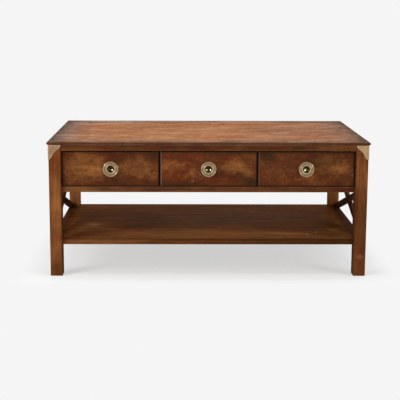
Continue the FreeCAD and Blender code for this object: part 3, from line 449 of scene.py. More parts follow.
anyWood = {  # what each kind of wood has, unless it says otherwise
    "streaks": (0.4, 7.0, 190.0), "toneRange": woodTones, "pores": 0.15, "roughness": 0.42,
    # pale arrises: partly wear, partly a painted highlight along them
    "edgeStain": 0.5, "arris": 0.0012, "relief": 0.25, "wearAndHighlight": (0.26, 0.12, 0.05), "wearAndHighlightShare": 0.4,
    "stainsAndLight": [],
}
woodLooks = {
    "leg": {
        "colors": [(0.078, 0.024, 0.007), (0.126, 0.042, 0.013), (0.188, 0.07, 0.021)],
        "tint": (1.05, 0.85, 0.76), "bands": (3.0, 34.0), "streaks": (0.5, 7.0, 150.0),
        "toneRange": (0.65, 1.35), "mottle": (0.4, 15.0), "edgeReach": 0.007, "arris": 0.0014,
        "shader": dimLacquer, "wearAndHighlightShare": 0.35,
        "stainsAndLight": [  # place, reach, colour, share
            ((-0.52, -0.35, 0.26), (0.07, 0.09, 0.12), (0.198, 0.073, 0.02), 0.75),
            ((-0.52, -0.35, 0.08), (0.06, 0.09, 0.08), (0.165, 0.058, 0.016), 0.5),
            ((0.52, -0.35, 0.36), (0.07, 0.09, 0.1), (0.178, 0.066, 0.019), 0.6),
            ((0.52, -0.35, 0.17), (0.08, 0.12, 0.24), (0.06, 0.018, 0.0055), 0.75),
            ((0.528, -0.352, 0.068), (0.024, 0.03, 0.014), (0.28, 0.125, 0.065), 0.35),
            # the inner sides of the front legs painted dark: painted shade
            ((-0.4995, -0.33, 0.2), (0.009, 0.09, 0.6), (0.045, 0.015, 0.004), 0.85),
            ((0.4995, -0.33, 0.2), (0.009, 0.09, 0.6), (0.05, 0.018, 0.009), 0.75),
            ((-0.505, -0.35, 0.135), (0.016, 0.03, 0.02), (0.085, 0.022, 0.008), 0.6),
            ((-0.533, -0.35, 0.025), (0.03, 0.03, 0.035), (0.095, 0.028, 0.009), 0.4),
            # the back legs painted lighter: painted light
            ((-0.52, 0.33, 0.22), (0.1, 0.1, 0.3), (0.35, 0.122, 0.04), 0.85),
            ((0.52, 0.33, 0.22), (0.1, 0.1, 0.3), (0.28, 0.11, 0.028), 0.75),
        ],
    },
    "rail": {
        "colors": [(0.046, 0.013, 0.003), (0.077, 0.023, 0.005), (0.125, 0.043, 0.011)],
        "tint": (1.06, 0.82, 0.72), "bands": (5.0, 30.0), "streaks": (0.5, 9.0, 150.0),
        "mottle": (0.35, 15.0), "edgeReach": 0.003, "edgeStain": 0.2, "arris": 0.0034,
        # the rails' arrises painted pale: a painted highlight
        "shader": lacquer, "wearAndHighlight": (0.38, 0.2, 0.115), "wearAndHighlightShare": 0.9,
        "stainsAndLight": [
            ((-0.42, -0.33, 0.3), (0.16, 0.06, 0.03), (0.15, 0.054, 0.015), 0.6),
            ((0.15, -0.33, 0.3), (0.4, 0.06, 0.03), (0.095, 0.032, 0.008), 0.5),
            ((-0.02, -0.33, 0.44), (0.28, 0.06, 0.04), (0.06, 0.017, 0.003), 0.6),
            ((0.4, -0.33, 0.44), (0.18, 0.06, 0.04), (0.125, 0.042, 0.009), 0.6),
        ],
    },
    "panel": {
        "colors": [(0.06, 0.018, 0.005), (0.112, 0.035, 0.009), (0.175, 0.062, 0.016)],
        "tint": (1.08, 0.78, 0.66), "bands": (3.5, 26.0), "mottle": (0.6, 12.0), "edgeReach": 0.006,
        "shader": lacquer,
    },
    "shelf": {
        "colors": [(0.135, 0.051, 0.014), (0.172, 0.065, 0.017), (0.23, 0.088, 0.024)],
        "tint": (1.06, 0.84, 0.72), "bands": (6.0, 44.0), "streaks": (0.5, 7.0, 130.0),
        "toneRange": (0.75, 1.25), "mottle": (0.35, 24.0), "pores": 0.1, "roughness": 0.45,
        "edgeReach": 0.002, "edgeStain": 0.3, "arris": 0.0014, "relief": 0.2, "shader": dullLacquer,
        "scratch": (0.36, 0.2, 0.11), "scratched": 0.45,
        "rim": (0.052, 0.018, 0.005), "rimShare": 0.8,
        "rimBorder": {"End Reach": 0.034, "Side Reach": 0.034, "Uneven": 0.6},
        # along the front edge: darker in the middle and to the right, lighter to the left
        "edgePatches": [
            ((0.0, -0.331, 0.112), (0.8, 0.008, 0.022), (0.095, 0.031, 0.008), 0.75),
            ((-0.42, -0.331, 0.114), (0.3, 0.008, 0.03), (0.15, 0.051, 0.016), 0.85),
            ((0.42, -0.331, 0.117), (0.4, 0.025, 0.06), (0.04, 0.013, 0.003), 0.85),
        ],
        "stainsAndLight": flatStainsAndLight([
            ((0.0, -0.22), (0.5, 0.11), (0.36, 0.14, 0.04), 0.6),
            ((-0.4, -0.1), (0.18, 0.14), (0.24, 0.095, 0.022), 0.5),
            ((0.45, -0.12), (0.13, 0.2), (0.13, 0.052, 0.01), 0.6),
            # the back of the shelf painted greyer and lighter: a painted reflection
            ((0.05, 0.05), (0.52, 0.26), (0.37, 0.185, 0.088), 0.7),
            ((-0.415, -0.074), (0.03, 0.045), (0.42, 0.21, 0.095), 0.45),
            ((-0.347, -0.155), (0.06, 0.016), (0.42, 0.19, 0.08), 0.4),
            ((0.286, -0.227), (0.11, 0.016), (0.5, 0.22, 0.1), 0.5),
            ((0.354, -0.235), (0.006, 0.012), (0.7, 0.38, 0.21), 0.7),
            ((0.39, -0.204), (0.005, 0.011), (0.7, 0.38, 0.21), 0.6),
            ((0.457, -0.165), (0.03, 0.01), (0.5, 0.25, 0.11), 0.5),
        ], shelfLevel, deep=0.05),
    },
    "brace": {
        "colors": [(0.038, 0.016, 0.006), (0.078, 0.031, 0.01), (0.13, 0.054, 0.018)],
        "tint": (1.04, 0.9, 0.8), "bands": (3.0, 34.0), "mottle": (0.5, 16.0), "edgeReach": 0.004,
        "shader": dimLacquer, "wearAndHighlight": (0.13, 0.06, 0.028),
    },
    "inner": {
        "colors": [(0.26, 0.155, 0.075), (0.4, 0.26, 0.135), (0.52, 0.36, 0.2)],
        "tint": (1.0, 0.92, 0.82), "bands": (2.5, 26.0), "streaks": (0.5, 7.0, 190.0),
        "mottle": (0.2, 9.0), "pores": 0.2, "roughness": 0.58,
        "edgeReach": 0.002, "edgeStain": 0.2, "arris": 0.001, "relief": 0.3, "shader": bareWood,
        "wearAndHighlight": None,
    },
}


def stainedWood(tree, vector, look):
    titles = ("Vector", "Dark", "Middle", "Light", "Band Length", "Band Width", "Streaks",
              "Streak Length", "Streak Width", "Mottle", "Mottle Scale", "Tint", "Pores", "Roughness")
    values = (vector, *look["colors"], *look["bands"], *look["streaks"], *look["mottle"], look["tint"],
              look["pores"], look["roughness"])
    return useGroup(tree, "wood", dict(zip(titles, values)))


grainTurns = {"x": (0, 0, 0), "y": (0, 0, -quarter), "z": (0, quarter, 0)}


# The shelf board is scratched, and dark along its rim and edges
def addRim(tree, vector, color, look, tone):
    scratches = useGroup(tree, "burr", {"Vector": vector})["Squiggles"]
    color = cover(tree, scratches, look["scratched"], color, look["scratch"])
    low, high = [Vector(corner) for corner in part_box("shelf_panel")]
    half = (high - low) / 2
    rim = useGroup(tree, "border", {
        "Vector": vectorCalc(tree, "SUBTRACT", vector, (low + high) / 2),
        "Half Length": half.x, "Half Width": half.y, **look["rimBorder"]})["Mask"]
    color = cover(tree, rim, look["rimShare"], color, shadeBy(tree, look["rim"], tone))
    return addStainsAndLight(tree, vector, color, look["edgePatches"], tone)


# One finish for each kind of wood and direction of its grain
@cache
def woodMaterial(kind, grain, turn=None):
    look = {**anyWood, **woodLooks[kind]}
    material, tree, coords = newMaterial(f"{kind}Wood_{grain}")
    turned = node(tree, "Mapping", {"Vector": coords, "Rotation": turn or grainTurns[grain]}).outputs[0]
    wood = stainedWood(tree, turned, look)
    edge = useGroup(tree, "edge", {"Reach": look["edgeReach"]})["Mask"]
    tone = remap(tree, wood["Tone"], *woodTones, *look["toneRange"])
    color = addStainsAndLight(tree, coords, wood["Color"], look["stainsAndLight"], tone)
    if "rim" in look:
        color = addRim(tree, coords, color, look, tone)
    color = darken(tree, color, edge, look["edgeStain"])
    finishMaterial(tree, color, wood, look)
    return material


topLook = {
    "colors": [(0.275, 0.119, 0.056), (0.36, 0.161, 0.077), (0.455, 0.222, 0.11)],
    "tint": (1.02, 0.88, 0.84), "bands": (7.0, 20.0), "streaks": (1.1, 5.0, 170.0),
    "mottle": (0.8, 38.0), "pores": 0.15, "roughness": 0.5,
    "arris": 0.0012, "relief": 0.2, "shader": dullLacquer,
    "half": (0.55, 0.35), "figureSize": (0.6, 1.0), "swirlSpan": (0.3, 0.7), "swirl": (0.8, 1.2),
    "line": (0.52, 0.32, 0.22), "lined": 0.45,
    "faded": (0.245, 0.152, 0.12), "fadedShare": 0.75,
    "fadedBorder": {"End Reach": 0.17, "Side Reach": 0.085, "Uneven": 1.6},
    "burnish": (0.07, 0.052, 0.036), "burnishShare": 0.8, "cornerShare": 0.9,
    "burnishBorder": {"End Reach": 0.045, "Side Reach": 0.024, "Corner Reach": 0.15, "Uneven": 1.4},
    "rim": (0.09, 0.03, 0.01), "rimTone": (0.8, 1.2),
    "rimBorder": {"End Reach": 0.007, "Side Reach": 0.007, "Uneven": 0.5},
    "wearAndHighlight": (0.15, 0.065, 0.035), "wearAndHighlightShare": 0.15,
    "stainsAndLight": flatStainsAndLight([
        ((0.36, 0.0), (0.3, 0.45), (0.285, 0.138, 0.082), 0.45),
        ((-0.05, -0.05), (0.3, 0.3), (0.44, 0.215, 0.105), 0.25),
        ((-0.38, 0.3), (0.24, 0.12), (0.36, 0.235, 0.185), 0.5),
        ((0.38, 0.32), (0.26, 0.11), (0.215, 0.115, 0.078), 0.5),
        ((0.53, -0.05), (0.09, 0.4), (0.14, 0.08, 0.048), 0.4),
        ((0.0, -0.35), (1.3, 0.1), (0.185, 0.112, 0.084), 0.7),
        ((-0.53, -0.08), (0.09, 0.36), (0.17, 0.12, 0.096), 0.35),
    ], topLevel, deep=0.1),
}


# The top: streaky, faded towards its sides, with dark corners and a red-brown rim
def topMaterial(look):
    material, tree, coords = newMaterial("topWood")
    wood = stainedWood(tree, coords, look)
    tone = wood["Tone"]
    size = {"Vector": coords, "Half Length": look["half"][0], "Half Width": look["half"][1]}
    faded = useGroup(tree, "border", {**size, **look["fadedBorder"]})["Mask"]
    grey = shadeBy(tree, look["faded"], tone)
    color = cover(tree, faded, look["fadedShare"], wood["Color"], grey)
    figure = useGroup(tree, "burr", {"Vector": stretch(tree, coords, *look["figureSize"])})
    color = shadeBy(tree, color, remap(tree, figure["Swirl"], *look["swirlSpan"], *look["swirl"]))
    color = cover(tree, figure["Squiggles"], look["lined"], color, look["line"])
    dark = useGroup(tree, "border", {**size, **look["burnishBorder"]})
    burnish = calc(tree, "MULTIPLY_ADD", dark["Corner"], look["cornerShare"], dark["Mask"], clamp=True)
    color = cover(tree, burnish, look["burnishShare"], color, shadeBy(tree, look["burnish"], tone))
    color = addStainsAndLight(tree, coords, color, look["stainsAndLight"], tone)
    rim = useGroup(tree, "border", {**size, **look["rimBorder"]})["Mask"]
    even = remap(tree, tone, *woodTones, *look["rimTone"])
    color = blendColors(tree, rim, color, shadeBy(tree, look["rim"], even))
    finishMaterial(tree, color, wood, look)
    return material


frontLook = {
    "colors": [(0.052, 0.014, 0.003), (0.084, 0.021, 0.0045), (0.118, 0.034, 0.008)],
    "tint": (1.08, 0.78, 0.66), "bands": (5.0, 11.0), "streaks": (0.3, 14.0, 120.0),
    "mottle": (0.6, 16.0), "pores": 0.08, "roughness": 0.38,
    "arris": 0.0016, "relief": 0.15, "shader": lacquer,
    "wearAndHighlight": (0.13, 0.085, 0.075), "wearAndHighlightShare": 0.35,
    # the left end of the middle and right fronts painted pale: a painted highlight
    "endHighlight": {"middle": 0.8, "right": 0.4}, "endInset": 0.0028, "endReach": (0.003, 0.2, 0.006),
    "patchScale": 17.0, "patches": 2.4, "swirl": 0.8, "eyes": 0.45,
    "amber": (0.19, 0.068, 0.016), "warmSpan": (0.05, 0.85), "warmShare": 0.8,
    "shadeSpan": (0.25, 0.75), "shade": (0.86, 1.12),
    "glow": (0.285, 0.105, 0.023), "olive": (0.03, 0.013, 0.003),
    "line": (0.25, 0.105, 0.05), "lineSpan": (-0.02, 0.035), "lined": (0.55, 0.08),
    "border": {"End Reach": 0.007, "Side Reach": 0.011, "Corner Reach": 0.028, "Uneven": 1.8,
               "Uneven Scale": 30.0},
    "borderShare": 0.55, "warmBorder": -0.45, "cornerShare": 1.2,
    # near black along the top, bottom and right edges of each front: painted shade in the gaps
    "gap": (0.008, 0.004, 0.002),
    "gaps": [  # across, up, reach, share
        (1, 0, (0.004, 0.25, 0.008), 0.9), (0, 1, (1, 0.0035, 0.008), 0.7), (0, -1, (1, 0.003, 0.008), 0.8),
    ],
}
fronts = {  # warm places on each drawer front, from its middle: across, up, half sizes, how warm
    "left": [(-0.085, 0.012, 0.105, 0.075, 1.0), (-0.048, -0.006, 0.035, 0.028, 0.7),
             (0.085, -0.002, 0.085, 0.045, 0.65), (0.095, 0.032, 0.07, 0.03, 0.4),
             (0.145, -0.002, 0.035, 0.05, 0.45)],
    "middle": [(-0.12, 0.006, 0.07, 0.045, 0.3), (0.08, 0.006, 0.07, 0.033, 0.75),
               (0.13, -0.006, 0.04, 0.025, 0.5), (-0.06, -0.01, 0.04, 0.03, 0.35),
               (0.0, 0.052, 0.15, 0.02, -0.5), (0.0, -0.052, 0.15, 0.02, -0.5)],
    "right": [(0.075, 0.014, 0.08, 0.04, 0.5), (0.12, 0.002, 0.05, 0.04, 0.3),
              (-0.1, -0.012, 0.07, 0.04, 0.4), (0.0, -0.04, 0.1, 0.02, 0.25),
              (0.05, 0.036, 0.06, 0.03, 0.4), (-0.026, -0.038, 0.03, 0.015, -0.3),
              (0.02, 0.0, 0.25, 0.09, 0.15)],
}
marks = {  # dark and glowing places on each front: colour, across, up, half sizes, share
    "left": [("olive", 0.155, 0.046, 0.03, 0.025, 0.45), ("olive", 0.02, -0.054, 0.12, 0.018, 0.4),
             ("glow", -0.046, -0.007, 0.034, 0.022, 0.75), ("glow", -0.11, 0.012, 0.05, 0.03, 0.3)],
    "middle": [("olive", 0.145, -0.045, 0.045, 0.035, 0.8), ("olive", 0.05, 0.055, 0.13, 0.022, 0.6),
               ("olive", -0.08, -0.056, 0.13, 0.022, 0.6), ("glow", 0.085, 0.004, 0.055, 0.022, 0.3),
               ("glow", 0.135, -0.016, 0.025, 0.016, 0.4)],
    "right": [("olive", -0.135, 0.045, 0.055, 0.035, 0.75), ("olive", 0.13, 0.056, 0.08, 0.016, 0.5),
              ("glow", 0.09, 0.012, 0.06, 0.018, 0.15)],
}


# A drawer front: burr veneer, amber patches, dark edges and corners, painted shade along the gaps round it
# and, on two of them, a painted highlight at the left end
def frontMaterial(bay, look):
    low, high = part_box(f"drawer_{bay}_front")
    middle = ((low[0] + high[0]) / 2, (low[2] + high[2]) / 2, -low[1])
    halfWide, halfHigh = (high[0] - low[0]) / 2, (high[2] - low[2]) / 2
    material, tree, coords = newMaterial(f"burrVeneer_{bay}")
    upright = node(tree, "Mapping", {"Vector": coords, "Rotation": (-quarter, 0, 0)}).outputs[0]
    offset = vectorCalc(tree, "SUBTRACT", upright, middle)
    flat = vectorCalc(tree, "MULTIPLY", offset, (1, 1, 0))
    wood = stainedWood(tree, upright, look)
    figure = useGroup(tree, "burr", {"Vector": upright, "Patch Scale": look["patchScale"]})
    warm = swing(tree, figure["Patches"], look["patches"], 0.0)
    warm = swing(tree, figure["Swirl"], look["swirl"], warm)
    for across, up, halfAcross, halfUp, amount in fronts[bay]:
        spot = softSpot(tree, flat, (across, up, 0), (halfAcross, halfUp, 1))
        warm = calc(tree, "MULTIPLY_ADD", spot, amount, warm)
    warm = calc(tree, "MULTIPLY", remap(tree, warm, *look["warmSpan"]), look["warmShare"])
    color = blendColors(tree, warm, wood["Color"], shadeBy(tree, look["amber"], wood["Tone"]))
    color = shadeBy(tree, color, remap(tree, figure["Swirl"], *look["shadeSpan"], *look["shade"]))
    color = darken(tree, color, figure["Eyes"], look["eyes"])
    spots = [((across, up, 0), (halfAcross, halfUp, 1), look[kind], share)
             for kind, across, up, halfAcross, halfUp, share in marks[bay]]
    color = addStainsAndLight(tree, flat, color, spots, wood["Tone"])
    height = node(tree, "SeparateXYZ", {0: flat}).outputs[1]
    lined = remap(tree, height, *look["lineSpan"], *look["lined"])
    color = cover(tree, figure["Squiggles"], lined, color, look["line"])
    border = useGroup(tree, "border", {"Vector": flat, "Half Length": halfWide, "Half Width": halfHigh,
                                       **look["border"]})
    dark = calc(tree, "MULTIPLY_ADD", warm, look["warmBorder"], 1.0)
    dark = calc(tree, "MULTIPLY", border["Mask"], dark)
    dark = calc(tree, "MULTIPLY_ADD", border["Corner"], look["cornerShare"], dark, clamp=True)
    color = cover(tree, dark, look["borderShare"], color, look["olive"])
    # painted shade along the gaps, and a painted highlight at the left end
    ends = [((across * halfWide, up * halfHigh, 0), reach, look["gap"], share)
            for across, up, reach, share in look["gaps"]]
    if bay in look["endHighlight"]:
        place = (look["endInset"] - halfWide, 0, 0)
        ends.append((place, look["endReach"], look["wearAndHighlight"], look["endHighlight"][bay]))
    color = addStainsAndLight(tree, offset, color, ends)
    finishMaterial(tree, color, wood, look)
    return material


anyMetal = {"age": 0.5, "arris": 0.0002, "relief": 0.1, "shader": {"Metallic": 1.0}}
# bright, patina, rubbed edges (wear and a painted highlight), deep (painted shade in the deepest hollows)
metalLooks = {
    "bracket": {"bright": (0.35, 0.215, 0.115), "patina": (0.29, 0.185, 0.088), "rubbedHighlight": (0.6, 0.42, 0.27),
                "deep": (0.12, 0.08, 0.04), "age": 0.6, "hollow": 0.001, "edge": 0.006, "roughness": 0.44,
                "arris": 0.0003},
    "plate": {"bright": (0.4, 0.28, 0.165), "patina": (0.15, 0.105, 0.05), "rubbedHighlight": (0.72, 0.5, 0.34),
              "deep": (0.018, 0.012, 0.005), "age": 0.45, "hollow": 0.008, "edge": 0.0016,
              "roughness": 0.27},
    # the cup: near black, partly patina and partly painted shade and a painted dark reflection
    "cup": {"bright": (0.052, 0.03, 0.012), "patina": (0.026, 0.014, 0.005), "rubbedHighlight": (0.12, 0.09, 0.05),
            "deep": (0.006, 0.004, 0.002), "hollow": 0.004, "edge": 0.0006, "roughness": 0.17,
            "arris": 0.0001, "relief": 0.08},
    "ring": {"bright": (0.4, 0.29, 0.165), "patina": (0.22, 0.16, 0.08), "rubbedHighlight": (0.55, 0.41, 0.26),
             "deep": (0.05, 0.035, 0.015), "age": 0.45, "hollow": 0.004, "edge": 0.0008, "roughness": 0.3},
    "screw": {"bright": (0.34, 0.22, 0.12), "patina": (0.22, 0.14, 0.07), "rubbedHighlight": (0.52, 0.36, 0.22),
              "deep": (0.07, 0.045, 0.02), "hollow": 0.0008, "edge": 0.0003, "roughness": 0.4,
              "arris": 0.0001},
    "zinc": {"bright": (0.56, 0.55, 0.52), "patina": (0.33, 0.32, 0.3), "rubbedHighlight": (0.66, 0.65, 0.62),
             "deep": (0.1, 0.1, 0.1), "hollow": 0.002, "edge": 0.0005, "roughness": 0.4, "relief": 0.2},
}
# colour of the painted highlights in the cups
cupHighlightColor = (0.68, 0.54, 0.36)
cupHighlights = {  # painted highlights, the lamps' reflections, in each cup, from its middle: across, up, reach
    "left": [(0.0078, -0.0035, 0.0054)],
    "middle": [(-0.0072, -0.0035, 0.0048), (0.0072, -0.0035, 0.0048)],
    "right": [(-0.0045, -0.0028, 0.0066)],
}


# Soft spots of painted highlight in each cup
def cupHighlightSpots():
    stainsAndLight = []
    for bay, places in cupHighlights.items():
        low, high = [Vector(corner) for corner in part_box(f"pull_{bay}_plate")]
        for across, up, reach in places:
            place = (low + high) / 2 + Vector((across, 0, up))
            stainsAndLight.append((tuple(place), (reach, 1, reach), cupHighlightColor, 1.0))
    return stainsAndLight


# Painted light on the metal: highlights in the cups, and the front right bracket painted lighter
metalHighlights = {
    "cup": cupHighlightSpots(),
    "bracket": [((0.53, -0.345, 0.44), (0.07, 0.06, 0.08), (0.43, 0.285, 0.15), 0.9)],
}


def metalMaterial(kind):
    look = {**anyMetal, **metalLooks[kind]}
    material, tree, coords = newMaterial(kind + "Metal")
    edge = useGroup(tree, "edge", {"Reach": look["edge"]})["Mask"]
    plain = {key.title(): look[key] for key in ("bright", "patina", "rubbedHighlight", "deep", "age", "roughness")}
    brass = useGroup(tree, "brass", {"Vector": coords, "Edge": edge, "Hollow Reach": look["hollow"],
                                     **plain})
    color = addStainsAndLight(tree, coords, brass["Color"], metalHighlights.get(kind, []))
    finishMaterial(tree, color, brass, look)
    return material


metals = {kind: metalMaterial(kind) for kind in metalLooks}
topWood = topMaterial(topLook)
veneers = {bay: frontMaterial(bay, frontLook) for bay in fronts}
print("finishes made")


# The grain of a cross bar runs along its slope
def braceMaterial(direction):
    low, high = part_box("brace_left_rising")
    tilt = math.atan2(high[2] - low[2], high[1] - low[1])
    tilt = tilt if direction == "rising" else -tilt
    turn = (Matrix.Rotation(-quarter, 3, "Z") @ Matrix.Rotation(-tilt, 3, "X")).to_euler()
    return woodMaterial("brace", direction, tuple(turn))


# Which finish each solid has
plainFinishes = {  # start of a node's name: kind of wood and its grain
    "leg": ("leg", "z"), "front_": ("rail", "x"), "divider": ("rail", "z"),
    "back_apron": ("panel", "x"), "side_apron": ("panel", "y"),
    "shelf_panel": ("shelf", "x"), "shelf_rail": ("shelf", "y"),
}
metalFinishes = {  # start or end of a node's name: kind of metal
    "bracket_screws": "screw", "top_screws": "zinc", "bracket": "bracket",
    "_plate": "plate", "_ring": "ring", "_pin": "screw", "_nut": "zinc",
}


def materialFor(name):
    if name.startswith(("top_panel", "top_edge")):
        return topWood
    if name.startswith("drawer_") and name.endswith("_front"):
        return veneers[name.split("_")[1]]
    if name.startswith("brace_"):
        return braceMaterial(name.split("_")[-1])
    for key, kind in metalFinishes.items():
        if name.startswith(key) or name.endswith(key):
            return metals[kind]
    for key, (kind, grain) in plainFinishes.items():
        if name.startswith(key):
            return woodMaterial(kind, grain)
    return woodMaterial("inner", "y" if name.endswith(("_side", "runners", "kickers")) else "x")


def paint(piece, material):
    piece.data.materials.clear()
    piece.data.materials.append(material)


for name, piece in nodes.items():
    paint(piece, materialFor(name))
print("solids finished")


# Short forms for modelling
def pickAlone(piece):
    bpy.ops.object.select_all(action="DESELECT")
    piece.select_set(True)
    bpy.context.view_layer.objects.active = piece


def editMode(on):
    bpy.ops.object.mode_set(mode="EDIT" if on else "OBJECT")


def joined(first, others):
    pickAlone(first)
    for piece in others:
        piece.select_set(True)
    bpy.ops.object.join()
    return first


# Names a piece, finishes it as the solid that it replaces, and lets it ride on that solid's body
def dress(piece, name, body, standsFor, smooth):
    piece.name = name
    pickAlone(piece)
    bpy.ops.object.transform_apply()
    bpy.ops.object.shade_smooth_by_angle(angle=math.radians(smooth))
    paint(piece, materialFor(standsFor))
    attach(piece, body)
    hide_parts(standsFor)
    piece.select_set(False)


# A copy with its own mesh, moved aside
def repeated(piece, aside):
    extra = piece.copy()
    extra.data = piece.data.copy()
    extra.location.x += aside
    scene.collection.objects.link(extra)
    return extra


wholeFaces = {"merge": 0.000002, "angle": math.radians(0.5)}  # what counts as one point and as flat


# A merged copy of a solid's mesh, with its flat faces whole again
def copyOf(name):
    piece = repeated(nodes[name], 0)
    pickAlone(piece)
    editMode(True)
    bpy.ops.mesh.select_all(action="SELECT")
    bpy.ops.mesh.remove_doubles(threshold=wholeFaces["merge"])
    bpy.ops.mesh.dissolve_limited(angle_limit=wholeFaces["angle"])
    editMode(False)
    return piece


# Turns a profile of (radius, depth) rows about the Y axis, ring by ring
def turned(profile, segments, middle, merge):
    x, y, z = middle
    radius, depth = profile[0]
    bpy.ops.mesh.primitive_circle_add(vertices=segments, radius=radius, location=(x, y + depth, z),
                                      rotation=(quarter, 0, 0))
    piece = bpy.context.active_object
    bpy.ops.object.transform_apply()
    editMode(True)
    for newRadius, newDepth in profile[1:]:
        bpy.ops.mesh.extrude_region_move(TRANSFORM_OT_translate={"value": (0, newDepth - depth, 0)})
        share = newRadius / radius
        bpy.ops.transform.resize(value=(share, 1, share), center_override=(x, y + newDepth, z))
        radius, depth = newRadius, newDepth
    bpy.ops.mesh.select_all(action="SELECT")
    bpy.ops.mesh.remove_doubles(threshold=merge)
    bpy.ops.mesh.normals_make_consistent(inside=False)
    editMode(False)
    return piece


# Rows on an arc, its angles in degrees
def arc(middleRadius, middleDepth, size, start, finish, steps):
    rows = []
    for step in range(steps + 1):
        angle = math.radians(start + (finish - start) * step / steps)
        rows.append((middleRadius + size * math.cos(angle), middleDepth + size * math.sin(angle)))
    return rows


# Ring pulls: the plate is turned from the stud's end round the rim to the middle of the cup
pullParts = {  # metres, and how finely the round parts are stepped
    "segments": 96, "merge": 0.00005, "smooth": 40,
    "rim": 0.0265, "rimRound": 0.0012, "rimSteps": 5, "proud": 0.0028,
    "inner": 0.0215, "innerRound": 0.0009, "innerSteps": 4, "chamfer": 0.0004,
    "line": 0.0238, "lineHalf": 0.0005, "lineDepth": 0.00035,
    "dish": 0.0033, "cup": 0.0113, "cupLip": 0.0006, "lipSteps": 3, "cupDepth": 0.0105, "cupSteps": 16,
    "cupEnd": 89.9,  # degrees, just short of the middle
    "wall": 0.001, "stud": 0.0025, "studTip": 0.8, "studChamfer": 0.0005, "point": 0.00002,
    "ringOuter": 0.0183, "ringInner": 0.0122, "ringThickness": 0.0026, "ringFace": 0.0019, "ringSteps": 16,
    "pinHeight": 0.018, "knuckle": 0.0013, "knuckleLength": 0.006, "knuckleSegments": 32,
    "knuckleRound": 0.0003,
}


def plateProfile(part, studEnd):
    rim, inner, cup, dish, stud = [part[key] for key in ("rim", "inner", "cup", "dish", "stud")]
    proud, chamfer, lip = part["proud"], part["chamfer"], part["cupLip"]
    cupWall, innerWall = cup + part["wall"], inner + part["wall"]
    cupBack, dishBack = part["cupDepth"] + part["wall"], dish + part["wall"]
    rows = [(part["point"], studEnd), (stud * part["studTip"], studEnd),
            (stud, studEnd - part["studChamfer"]), (stud, cupBack), (cupWall, cupBack),
            (cupWall, dishBack), (innerWall, dishBack), (innerWall, proud), (rim, proud)]
    rows += arc(rim - part["rimRound"], part["rimRound"], part["rimRound"], 0, -90, part["rimSteps"])
    rows += [(part["line"] + part["lineHalf"], 0), (part["line"], part["lineDepth"]),
             (part["line"] - part["lineHalf"], 0)]
    rows += arc(inner + part["innerRound"], part["innerRound"], part["innerRound"], -90, -180,
                part["innerSteps"])
    rows += [(inner, dish - chamfer), (inner - chamfer, dish)]
    rows += arc(cup + lip, dish + lip, lip, -90, -180, part["lipSteps"])
    rise = part["cupDepth"] - dish - lip
    bowl = (cup ** 2 + rise ** 2) / (2 * rise)
    start = math.degrees(math.acos(cup / bowl))
    return rows + arc(0, part["cupDepth"] - bowl, bowl, start, part["cupEnd"], part["cupSteps"])


def ringProfile(part):
    outer, inner, thickness = part["ringOuter"], part["ringInner"], part["ringThickness"]
    middle, half, chamfer = (outer + inner) / 2, (outer - inner) / 2, part["chamfer"]
    rows = []
    for step in range(part["ringSteps"] + 1):
        angle = math.pi * step / part["ringSteps"]
        rows.append((middle + half * math.cos(angle), part["ringFace"] * (1 - math.sin(angle))))
    rows += [(inner, thickness - chamfer), (inner + chamfer, thickness),
             (outer - chamfer, thickness), (outer, thickness - chamfer)]
    return rows + rows[:1]


# Middle of a bay's plate, at its front
def plateFront(bay):
    low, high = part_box(f"pull_{bay}_plate")
    return (low[0] + high[0]) / 2, low[1], (low[2] + high[2]) / 2


def makePlate(part):
    low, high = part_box("pull_middle_plate")
    profile = plateProfile(part, high[1] - low[1])
    return turned(profile, part["segments"], plateFront("middle"), part["merge"])


def makeRing(part):
    aside, _, height = plateFront("middle")
    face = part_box("pull_middle_ring")[0][1]
    ring = turned(ringProfile(part), part["segments"], (aside, face, height), part["merge"])
    bpy.ops.mesh.primitive_cylinder_add(
        vertices=part["knuckleSegments"], radius=part["knuckle"], depth=part["knuckleLength"],
        location=(aside, face + part["ringThickness"] / 2, height + part["pinHeight"]),
        rotation=(0, quarter, 0))
    knuckle = bpy.context.active_object
    bevel = knuckle.modifiers.new("ends", "BEVEL")
    bevel.width = part["knuckleRound"]
    bevel.segments = 2
    bpy.ops.object.modifier_apply(modifier=bevel.name)
    return joined(ring, [knuckle])


# The cup in the middle of a plate is painted near black: partly patina, partly painted shade and a painted
# dark reflection
def paintCup(piece, place, part):
    piece.data.materials.append(metals["cup"])
    for face in piece.data.polygons:
        aside, depth, up = face.center - Vector(place)
        away = math.hypot(aside, up)
        inside = part["dish"] / 2 < depth < part["cupDepth"] + part["merge"]
        if inside and away < part["cup"] + part["cupLip"] / 2:
            face.material_index = 1


plate = makePlate(pullParts)
ring = makeRing(pullParts)
for bay in fronts:
    place = plateFront(bay)
    onePlate, oneRing = [piece if bay == "middle" else repeated(piece, place[0]) for piece in (plate, ring)]
    dress(onePlate, f"pullPlate_{bay}", f"drawer_{bay}", f"pull_{bay}_plate", pullParts["smooth"])
    paintCup(onePlate, place, pullParts)
    dress(oneRing, f"pullRing_{bay}", f"ring_{bay}", f"pull_{bay}_ring", pullParts["smooth"])
print("ring pulls made")

# Brackets: folded plates with rounded arrises
bracketParts = {
    "round": 0.0006, "steps": 3, "smooth": 30,
    "sharp": 0.5, "outward": 0.8,  # cosines: faces that meet at an arris, a face that looks outwards
}


# Edges at which a face that looks outwards meets one that turns away from it
def pickArrises(piece, out, part):
    facings = {}
    for face in piece.data.polygons:
        for key in face.edge_keys:
            facings.setdefault(key, []).append(face.normal)
    for item in (*piece.data.polygons, *piece.data.vertices):
        item.select = False
    for edge in piece.data.edges:
        normals = facings[edge.key]
        edge.select = (len(normals) == 2 and normals[0].dot(normals[1]) < part["sharp"]
                       and max(normal.dot(out) for normal in normals) > part["outward"])
    bpy.context.tool_settings.mesh_select_mode = (False, True, False)
    editMode(True)


